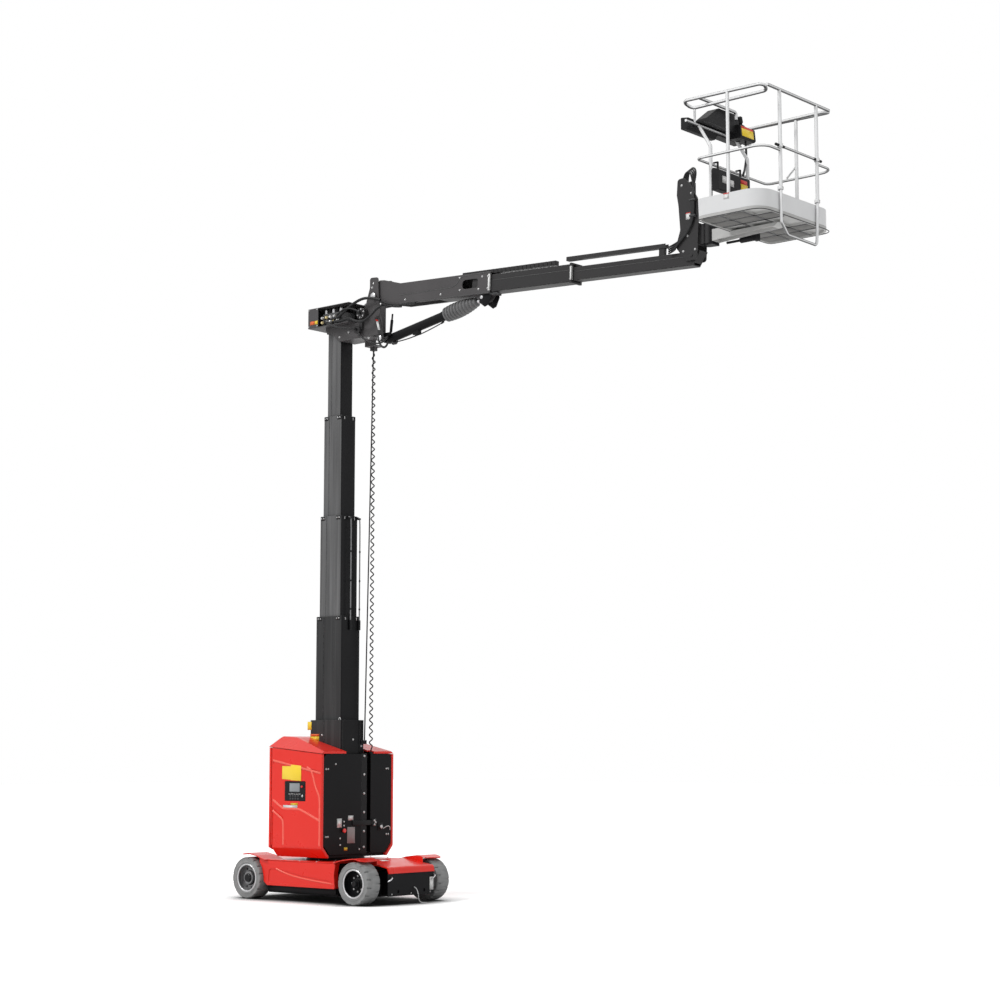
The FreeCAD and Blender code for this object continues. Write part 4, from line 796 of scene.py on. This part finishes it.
def tyre(axle, hand, side):
    """Solid tyre with flat side rings and slots cut into both shoulders."""
    name = "tyre_%s_%s" % (axle, hand)
    corner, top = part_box(name)
    centre = centre_of(name)
    inner, outer = 0.150, (top[0] - corner[0]) / 2
    width = top[1] - corner[1]
    half = [(0.004, inner), (0.0, inner + 0.006), (0.0, inner + 0.014), (0.004, inner + 0.019),
            (0.004, outer - 0.019), (0.0, outer - 0.014), (0.005, outer - 0.005), (0.014, outer - 0.0008),
            (0.048, outer)]
    profile = half + [(width - along, radius) for along, radius in reversed(half)] + half[:1]
    sides, every = 96, 6
    slot, shoulder, middle = 0.009, 0.011, 0.044
    obj = turned(profile, (centre.x, centre.y - side * width / 2, centre.z), (0, side, 0), sides)
    bpy.ops.object.mode_set(mode="EDIT")
    bpy.ops.mesh.select_mode(type="FACE")
    bpy.ops.mesh.select_all(action="DESELECT")
    bpy.ops.object.mode_set(mode="OBJECT")
    for face in obj.data.polygons:
        off = face.center - centre
        step = int(math.atan2(off.z, off.x) % (2 * math.pi) / (2 * math.pi) * sides) % every
        wanted = 0 if off.y > 0 else every // 2
        outside = math.hypot(off.x, off.z) > outer - shoulder and abs(off.y) > middle
        face.select = outside and step == wanted
    bpy.ops.object.mode_set(mode="EDIT")
    bpy.ops.mesh.extrude_region_shrink_fatten(TRANSFORM_OT_shrink_fatten={"value": -slot})
    bpy.ops.mesh.select_mode(type="VERT")
    bpy.ops.object.mode_set(mode="OBJECT")
    piece(name + "_treaded", "wheel_%s_%s" % (axle, hand), "tyre_grey", obj, replaces=(name,))


def wheel_trim(hand, side):
    """Tyres, wheel nuts, hub covers and rim rings of the two wheels on one side."""
    for axle, disc, count, circle, hub in (("front", 0.527, 8, 0.078, 0.046),
                                           ("rear", 0.540, 9, 0.100, 0.060)):
        tyre(axle, hand, side)
        rim = "rim_%s_%s" % (axle, hand)
        x, _, z = centre_of(rim)
        nuts = [Vector((x + along, side * disc, z + up)) for along, up in ring_of(count, circle)]
        body = "wheel_%s_%s" % (axle, hand)
        piece("%s_%s_nuts" % (axle, hand), body, "zinc" if axle == "front" else "dark_grey",
              bolts(nuts, (0, side, 0), 0.008))
        face = max(abs(corner[1]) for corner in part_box(rim))
        start = disc + 0.0005
        cover = [(0, hub + 0.016), (0.004, hub + 0.016), (0.008, hub + 0.006), (0.020, hub),
                 (0.024, hub - 0.012), (face - start - 0.004, hub - 0.020)]
        piece("%s_%s_hub" % (axle, hand), body, "black_plastic",
              turned(cover, (x, side * start, z), (0, side, 0), 32))
        ring = [(0, 0.129), (0.004, 0.134), (0.004, 0.146), (0, 0.149), (-0.002, 0.146), (-0.002, 0.131),
                (0, 0.129)]
        piece("%s_%s_ring" % (axle, hand), body, "silver_steel",
              turned(ring, (x, side * (face + 0.0005), z), (0, side, 0), 64))


# ---- mast head ----
def valve_trim():
    """Fittings and coils on the valve block, and the valve box's screws and labels."""
    face, top = low("valve_block", 1), high("valve_block", 2) + 0.0005
    columns = [-0.092 + 0.056 * number for number in range(5)]
    union = [(0, 0.017), (0.012, 0.017), (0.013, 0.013), (0.024, 0.013)]
    cap = [(0, 0.012), (0.012, 0.012), (0.014, 0.008)]
    spots = [(x, z) for x in (-0.090, -0.030, 0.030, 0.090, 0.140) for z in (6.100, 6.150)]
    for name, material, chosen in (("valve_fittings", "brass", spots[0::3]),
                                   ("valve_unions", "silver_steel", spots[1::3]),
                                   ("valve_plugs", "label_white", spots[2::3])):
        piece(name, "mast_4", material, [turned(union, at(x, face, z), (0, -1, 0), 6) for x, z in chosen])
    coil = [(0, 0.017), (0.004, 0.021), (0.044, 0.021), (0.048, 0.015), (0.054, 0.009), (0.060, 0.007)]
    for name, material, places in (("valve_coils", "silver_steel", columns[0::2]),
                                   ("valve_coils_dark", "black_plastic", columns[1::2])):
        piece(name, "mast_4", material, [turned(coil, at(x, -0.122, top), (0, 0, 1), 16) for x in places])
    piece("valve_caps", "mast_4", "label_white",
          [turned(cap, at(x, -0.070, top), (0, 0, 1), 6) for x in columns])
    side = low("valve_box", 1)
    piece("valve_box_screws", "mast_4", "zinc",
          bolts([at(x, side, z) for x in (-0.28, -0.155) for z in (6.075, 6.255)], (0, -1, 0), 0.006))
    piece("valve_box_label", "mast_4", "label_orange", side_patch(-0.262, -0.190, 6.092, 6.132, side))
    piece("valve_box_label_end", "mast_4", "label_yellow", side_patch(-0.190, -0.145, 6.092, 6.132, side))


def head_trim():
    """Bolts, pin covers, pipes and the linking plate on the mast head."""
    piece("head_bolts", "mast_4", "zinc",
          bolts([at(x, HEAD_Y, z) for x, z in ((0.238, 5.966), (0.536, 5.862), (0.100, 5.930), (0.583, 6.400),
                                              (0.480, 6.230))], (0, -1, 0), 0.009))
    pins = [turned([(0, 0.034), (0.008, 0.034), (0.011, 0.030)], on_jib(0, -0.1365, 0), (0, -1, 0), 24),
            turned([(0, 0.030), (0.008, 0.030), (0.011, 0.026)], LIFT_FOOT + Vector((0, -0.1215, 0)),
                   (0, -1, 0), 24)]
    piece("pin_caps", "mast_4", "silver_steel", pins)
    motor_x, motor_z, motor_face = 0.474, 6.128, low("head_motor", 1)
    piece("motor_ring", "mast_4", "zinc",
          bolts([at(motor_x + along, motor_face, motor_z + up) for along, up in ring_of(6, 0.045, 20)],
                (0, -1, 0), 0.007))
    routes = [
        [at(-0.030, -0.198, 6.100), at(0.060, -0.222, 6.060), at(0.180, -0.226, 6.010),
         at(0.300, -0.222, 5.985), at(0.400, -0.196, 5.975), at(0.404, -0.166, 5.964)],
        [at(0.140, -0.198, 6.150), at(0.220, -0.222, 6.185), at(0.330, -0.226, 6.200),
         at(0.430, -0.216, 6.170), at(0.474, -0.200, 6.140), at(0.474, -0.180, 6.128)],
        [at(0.420, -0.150, 5.930), at(0.470, -0.150, 5.870), at(0.560, -0.140, 5.820),
         at(0.650, -0.136, 5.790), at(0.720, -0.134, 5.780), at(0.770, -0.120, 5.800),
         at(0.790, -0.090, 5.850)],
    ]
    piece("head_pipes", "mast_4", "rubber", [hose(route, 0.009, 0.013) for route in routes])
    piece("foot_loop", "mast_4", "rubber",
          hose([at(0.690, -0.128, 5.880), at(0.700, -0.128, 5.800), at(0.731, -0.126, 5.752),
                at(0.770, -0.122, 5.728), at(0.812, -0.118, 5.752), at(0.818, -0.112, 5.790)], 0.011))
    link = [(0.628, 6.068), (0.668, 6.084), (0.704, 6.050), (0.765, 5.836), (0.745, 5.800), (0.712, 5.806)]
    piece("head_link", "mast_4", "jib_black",
          outline_plate(link, lambda x, z: at(x, -0.1185, z), (0, -0.006, 0), 0.002))
    piece("head_link_label", "mast_4", "label_white",
          outline_plate([(0.650, 6.030), (0.686, 6.020), (0.716, 5.925), (0.682, 5.930)],
                        lambda x, z: at(x, -0.1247, z), (0, -0.0012, 0), 0.0004))
    piece("head_link_band", "mast_4", "label_red",
          outline_plate([(0.644, 6.052), (0.681, 6.041), (0.686, 6.021), (0.650, 6.031)],
                        lambda x, z: at(x, -0.1247, z), (0, -0.0012, 0), 0.0004))


# ---- jib ----
def block_on_jib(s0, s1, y0, y1, up0, up1, soft=0.002):
    """A block laid along the sloping jib."""
    obj = block((s0, y0, up0), (s1, y1, up1), soft)
    obj.rotation_euler = (0, JIB_TILT, 0)
    obj.location = on_jib(0, 0, 0)
    return grown(obj)


def jib_trim():
    """Bolts, end plates, wear-pad strips and guard plates along the jib."""
    spots = [(0.429, -0.072), (0.932, -0.064), (1.193, -0.045), (1.191, 0.080), (1.451, -0.058),
             (1.497, 0.065), (1.575, 0.060), (1.575, -0.060)]
    piece("base_bolts", "jib", "zinc", bolts([on_jib(s, BASE_Y, up) for s, up in spots], (0, -1, 0), 0.008))
    piece("base_end_plate", "jib", "label_white",
          block_on_jib(1.576, 1.600, BASE_Y - 0.0020, BASE_Y - FIT, -0.085, 0.085))
    piece("mid_end_plate", "jib_mid", "label_white",
          block_on_jib(2.630, 2.650, MID_Y - 0.0018, MID_Y - FIT, -0.080, 0.058))
    piece("base_end_foot", "jib", "dark_grey", block_on_jib(1.585, 1.690, -0.075, -0.030, -0.122, -0.108))
    piece("base_pads", "jib", "label_white",
          [block_on_jib(1.588, 1.6005, hand * 0.084 - 0.003, hand * 0.084 + 0.003, -0.092, 0.092)
           for hand in (-1, 1)])
    piece("mid_pads", "jib_mid", "label_white",
          [block_on_jib(2.640, 2.6505, hand * 0.068 - 0.003, hand * 0.068 + 0.003, -0.082, 0.060)
           for hand in (-1, 1)])
    piece("mid_screws", "jib_mid", "zinc",
          bolts([on_jib(2.632, MID_Y, up) for up in (-0.070, -0.010, 0.050)], (0, -1, 0), 0.005))
    guard = [(2.035, 6.160), (2.203, 6.134), (2.214, 6.087), (2.170, 5.999), (2.125, 5.985), (2.047, 6.042),
             (2.069, 6.099)]
    guards = [outline_plate(guard, lambda x, z: at(x, hand * 0.0605, z), (0, hand * 0.006, 0), 0.002)
              for hand in (-1, 1)]
    piece("eye_guards", "jib", "black_paint", guards)
    piece("eye_pin_cap", "jib", "silver_steel",
          turned([(0, 0.020), (0.006, 0.020), (0.009, 0.016)], LIFT_EYE + Vector((0, -0.0670, 0)),
                 (0, -1, 0), 20))


def jib_lines():
    """Hoses on the jib's root, the barrel's small pipe, and thin grey cords along the sections' seams and
    shoulders whose lighter tone paints the highlights on their pressed creases.
    """
    routes = [[at(0.700, -0.106, 6.232), at(0.780, -0.106, 6.205), at(0.919, -0.104, 6.168),
               at(1.060, -0.1035, 6.156), at(1.205, -0.103, 6.149)],
              [at(0.700, -0.104, 6.196), at(0.790, -0.104, 6.184), at(0.900, -0.103, 6.150),
               at(1.000, -0.102, 6.140)]]
    piece("jib_root_hoses", "jib", "rubber", [hose(route, 0.010) for route in routes])
    # the seam and shoulder cords are a little lighter than the jib: painted highlight along real ridges
    seam = [on_jib(s, -0.0945, up)
            for s, up in ((0.350, -0.014), (0.800, -0.010), (1.100, -0.006), (1.150, 0.020),
                          (1.200, 0.080), (1.240, 0.100), (1.590, 0.102))]
    flange = [on_jib(s, -0.0935, -0.104) for s in (0.345, 0.900, 1.590)]
    piece("jib_seam_highlights", "jib", "edge_grey", [hose(seam, 0.0032), hose(flange, 0.0032)])
    for stage, first, last, side, up in (("jib_mid", 1.62, 2.62, 0.0765, 0.020),
                                         ("jib_fly", 2.67, 4.02, 0.0605, 0.004)):
        piece(stage + "_shoulder_highlight", stage, "edge_grey",
              hose([on_jib(first, -side, up), on_jib((first + last) / 2, -side, up),
                    on_jib(last, -side, up)], 0.0025))
    under = Vector((LIFT_AXIS.z, 0, -LIFT_AXIS.x))
    pipe = [LIFT_FOOT + LIFT_AXIS * s + under * d
            for s, d in ((0.08, 0.052), (0.20, 0.075), (0.46, 0.085), (0.56, 0.082),
                         (0.76, 0.066), (0.80, 0.058))]
    piece("barrel_pipe", "lift_cylinder", "rubber", hose(pipe, 0.006, 0.010))


def boot():
    """Bellows over the lift cylinder's rod, with round folds."""
    first, last = 0.850, 1.287
    folds = 11
    step = (last - first) / folds
    profile = [(first, 0.058)]
    for fold in range(folds):
        start = first + step * fold
        reach = 0.038 + 0.047 * math.sin(math.pi * (0.26 + 0.72 * (fold + 0.5) / folds)) ** 0.8
        root = reach * 0.84
        profile += [(start + step * 0.08, root), (start + step * 0.3, reach), (start + step * 0.7, reach),
                    (start + step * 0.92, root)]
    profile.append((last, 0.030))
    piece("bellows", "lift_rod", "boot_grey", turned(profile, LIFT_FOOT, LIFT_AXIS, 32),
          replaces=("rod_boot",))


# ---- basket ----
def arm_trim():
    """Hoses that loop over the levelling arm, its bolts and its blank label."""
    side = ARM_Y
    piece("arm_label", "basket_arm", "label_white", side_patch(4.636, 4.698, 6.455, 6.512, side))
    piece("arm_label_band", "basket_arm", "label_red",
          side_patch(4.634, 4.700, 6.512, 6.520, side, 0.0015, 0.0004))
    piece("arm_bolts", "basket_arm", "zinc",
          bolts([at(x, side, z) for x, z in ((4.600, 6.160), (4.735, 6.160), (4.650, 6.300), (4.735, 6.480),
                                             (4.700, 6.700), (4.590, 6.790))], (0, -1, 0), 0.008))
    loops = []
    for lane, y in enumerate((-0.050, -0.024, 0.002, 0.028)):
        lift = 0.018 * lane
        down = 0.020 * lane
        route = [at(4.590, y, 6.520), at(4.585, y, 6.700), at(4.588, y, 6.850 + lift),
                 at(4.620, y, 6.915 + lift), at(4.665, y, 6.920 + lift), at(4.700, y - 0.020, 6.860 + lift),
                 at(4.722, -0.070, 6.760), at(4.736 - lift / 2, -0.090, 6.650),
                 at(4.742 - down / 2, -0.092, 6.527), at(4.718 - down / 2, -0.092, 6.410 - down),
                 at(4.663 - down, -0.092, 6.334 - down), at(4.589 - down, -0.092, 6.273 - down),
                 at(4.515, -0.092, 6.238 - down), at(4.440, -0.088, 6.222 - down)]
        loops.append(hose(route, 0.0085))
    piece("arm_hoses", "basket_arm", "rubber", loops)
    piece("arm_clamps", "basket_arm", "dark_grey",
          [block(at(4.690, -0.106, z), at(4.756, -0.0762, z + 0.018), 0.004) for z in (6.47, 6.62)])


def floor_trim():
    """Label on the toe board, panels and bars under the floor, its dark edge and the actuator."""
    rim = low("toe_board", 1)
    piece("toe_label", "basket", "label_white", side_patch(5.420, 5.480, 6.405, 6.450, rim))
    piece("toe_label_band", "basket", "label_red",
          side_patch(5.418, 5.482, 6.450, 6.459, rim, 0.0016, 0.0004))
    panel_low, panel_high = 6.2745, 6.2785
    bar_low, bar_high, bar_half = 6.2725, 6.2742, 0.013
    grid = [block(at(x, y, panel_low), at(x + 0.200, y + 0.150, panel_high), 0.001)
            for x in (5.145, 5.370) for y in (-0.545, -0.353, 0.203, 0.395)]
    grid += [block(at(5.610, y, panel_low), at(5.790, y + 0.140, panel_high), 0.001)
             for y in (-0.345, 0.203)]
    piece("floor_panels", "basket", "floor_grey", grid)
    bars = [block(at(5.130, y - bar_half, bar_low), at(5.800, y + bar_half, bar_high), 0.0005)
            for y in (-0.370, -0.190, 0.190, 0.370)]
    bars += [block(at(x - bar_half, side * 0.070, bar_low), at(x + bar_half, side * 0.570, bar_high), 0.0005)
             for x in (5.350, 5.590) for side in (-1, 1)]
    piece("floor_bars", "basket", "dark_grey", bars)
    inset, level = 0.0015, 6.2700
    half, near, far = high("toe_board", 1) - inset, low("toe_board", 0) + inset, high("toe_board", 0) - inset
    left_edge = [(5.30, half), (5.56, half), (5.72, half), (5.79, 0.565), (far, 0.490), (far, 0.340)]
    left_corner = [(near, 0.520), (5.125, 0.578), (5.17, half), (5.30, half)]
    rim_line = [(x, -y) for x, y in left_edge] + [(far, 0.0)] + left_edge[::-1]
    rim_line += left_corner[2::-1] + [(near, 0.0)] + [(x, -y) for x, y in left_corner]
    edge = hose([at(x, y, level) for x, y in rim_line], 0.0045)
    piece("floor_edge", "basket", "dark_grey", edge)
    actuator = [turned([(0, 0.020), (0.010, 0.028), (0.150, 0.028), (0.160, 0.020)],
                       at(5.100, 0.130, 6.222), (1, 0, 0)),
                turned([(0, 0.012), (0.170, 0.0122)], at(4.952, 0.130, 6.222), (1, 0, 0)),
                block(at(4.930, 0.0605, 6.240), at(4.960, 0.146, 6.300), 0.006),
                block(at(5.255, 0.095, 6.190), at(5.300, 0.165, 6.268), 0.006)]
    piece("turn_actuator", "basket", "black_plastic", actuator)


def console_trim():
    """Labels on the console and its lower box, the joystick and the cable between them."""
    front = high("console", 0)
    foot, slope = 7.196, 0.012 / 0.110
    for name, material, start, end, proud in (("console_label", "label_yellow", 7.202, 7.280, 0.0012),
                                              ("console_label_band", "label_red", 7.280, 7.300, 0.0014)):
        face = outline_plate([(0.102, start), (0.296, start), (0.296, end), (0.102, end)],
                             lambda y, z: at(front - slope * (z - foot) + proud, y, z), (-0.0024, 0, 0),
                             0.0004)
        piece(name, "basket", material, face)
    grip = [(0, 0.036), (0.012, 0.030), (0.022, 0.016), (0.034, 0.018), (0.042, 0.026), (0.092, 0.028),
            (0.102, 0.016)]
    piece("joystick", "basket", "black_plastic",
          turned(grip, at(5.088, 0.190, 7.3130), (-0.05, -0.28, 1), 18))
    box_front = high("control_box", 0)
    piece("box_labels_white", "basket", "label_white",
          [front_patch(-0.338, -0.262, 6.650, 6.715, box_front),
           front_patch(-0.217, -0.155, 6.640, 6.700, box_front)])
    piece("box_label_yellow", "basket", "label_yellow", front_patch(-0.043, 0.070, 6.600, 6.700, box_front))
    piece("box_label_band", "basket", "label_red",
          front_patch(-0.045, 0.060, 6.700, 6.738, box_front, 0.0016))
    cable = hose([at(5.100, 0.240, 7.181), at(5.102, 0.246, 7.110), at(5.104, 0.242, 7.040),
                  at(5.112, 0.222, 6.980), at(5.140, 0.165, 6.910), at(5.190, 0.080, 6.850),
                  at(5.200, 0.050, 6.820), at(5.198, 0.045, 6.798)], 0.011)
    piece("console_cable", "basket", "rubber", cable)
    wraps = [turned([(0, 0.0105), (0.004, 0.0115), (0.020, 0.0115), (0.024, 0.0105)], start, way, 12)
             for start, way in ((at(5.1015, 0.2455, 7.115), (0, 0, -1)),
                                (at(5.104, 0.2415, 7.040), (0.1, -0.3, -1)))]
    piece("console_cable_wraps", "basket", "label_white", wraps)


def rail_trim():
    """Side brace, and the drop bar's end caps and clamps."""
    brace = hose([at(5.340, 0.560, 6.855), at(5.395, 0.560, 6.905), at(5.450, 0.560, 6.955)], 0.009)
    piece("side_brace", "basket", "white_paint", brace)
    bar = centre_of("drop_bar")
    cap = [(0, 0.010), (0.003, 0.0128), (0.046, 0.0128), (0.050, 0.010)]
    sleeve = [(0, 0.0125), (0.002, 0.0135), (0.030, 0.0135), (0.032, 0.0125)]
    caps = [turned(shape, (bar.x, y, bar.z), (0, way, 0), 16)
            for shape, y, way in ((cap, -0.338, -1), (cap, 0.316, 1), (sleeve, -0.284, 1),
                                  (sleeve, 0.262, -1))]
    piece("drop_bar_ends", "drop_bar", "black_plastic", caps)
    clamps = [block(at(5.8225, y - 0.024, 6.478), at(5.8555, y + 0.024, 6.512), 0.006)
              for y in (-0.312, 0.290)]
    piece("post_clamps", "basket", "rail_white", clamps)


# ---- studio ----
def camera_and_lamps(scene):
    """The camera from the front right, a broad key lamp and a weak one from the front."""
    camera = bpy.data.objects.new("camera", bpy.data.cameras.new("camera"))
    scene.collection.objects.link(camera)
    camera.data.lens = 74.63
    camera.data.sensor_width = 36.0
    camera.data.clip_end = 200.0
    camera.location = at(15.698, -15.487, 1.562)
    camera.rotation_euler = (math.radians(90 + 6.825), 0, math.radians(40.92))
    scene.camera = camera
    for name, source, strength, spread in (("key", (-0.35, -1.0, 1.0), 1.7, 22.0),
                                           ("rim", (1.0, 0.2, 1.3), 0.6, 35.0)):
        lamp = bpy.data.objects.new(name, bpy.data.lights.new(name, "SUN"))
        scene.collection.objects.link(lamp)
        lamp.data.energy = strength
        lamp.data.angle = math.radians(spread)
        lamp.rotation_euler = Vector(source).to_track_quat("Z", "Y").to_euler()


def surroundings(scene):
    """A world that lights softly and is seen as white."""
    world = bpy.data.worlds.new("surroundings")
    scene.world = world
    world.use_nodes = True
    tree = world.node_tree
    back = tree.nodes["Background"]
    back.inputs["Color"].default_value = (1, 1, 1, 1)
    rays = node(tree, "LightPath").outputs
    seen = math_of(tree, "MAXIMUM", rays["Is Camera Ray"], rays["Is Glossy Ray"])
    seen = math_of(tree, "MAXIMUM", seen, rays["Is Transmission Ray"])
    tree.links.new(remap(tree, seen, 0.0, 1.0, 0.42, 1.0), back.inputs["Strength"])


def pale_floor():
    """A floor that is seen as white, with a painted shadow: darker where the machine stands close over it."""
    deselect()
    bpy.ops.mesh.primitive_plane_add(size=120, location=(0, 0, -0.0005))
    floor = bpy.context.object
    floor.name = "floor"
    material = bpy.data.materials.new("floor_white")
    material.use_nodes = True
    tree = material.node_tree
    shader = tree.nodes["Principled BSDF"]
    # painted shadow: ambient occlusion darkens the floor's colour and its glow under the machine
    nearby = node(tree, "AmbientOcclusion", samples=8)
    nearby.inputs["Distance"].default_value = 0.55
    lit = remap(tree, nearby.outputs["AO"], 0.42, 0.90)
    tree.links.new(mix_colour(tree, lit, (0.01, 0.01, 0.01, 1), (0.93, 0.93, 0.93, 1)),
                   shader.inputs["Base Color"])
    shader.inputs["Roughness"].default_value = 0.9
    shader.inputs["Emission Color"].default_value = (1, 1, 1, 1)
    seen = node(tree, "LightPath").outputs["Is Camera Ray"]
    glow = math_of(tree, "MULTIPLY", remap(tree, seen, 0.0, 1.0, 0.0, 0.42), lit)
    tree.links.new(glow, shader.inputs["Emission Strength"])
    floor.data.materials.append(material)


bpy.context.scene.view_settings.view_transform = "Standard"
camera_and_lamps(bpy.context.scene)
surroundings(bpy.context.scene)
pale_floor()
dress_nodes()
curly_cord()
mast_cable()
ground_strap()
ground_controls()
pressed_folds()
front_hardware()
sleeve_trim()
mast_trim()
deck_trim()
wheel_trim("right", -1)
wheel_trim("left", 1)
valve_trim()
head_trim()
jib_trim()
jib_lines()
boot()
arm_trim()
floor_trim()
console_trim()
rail_trim()
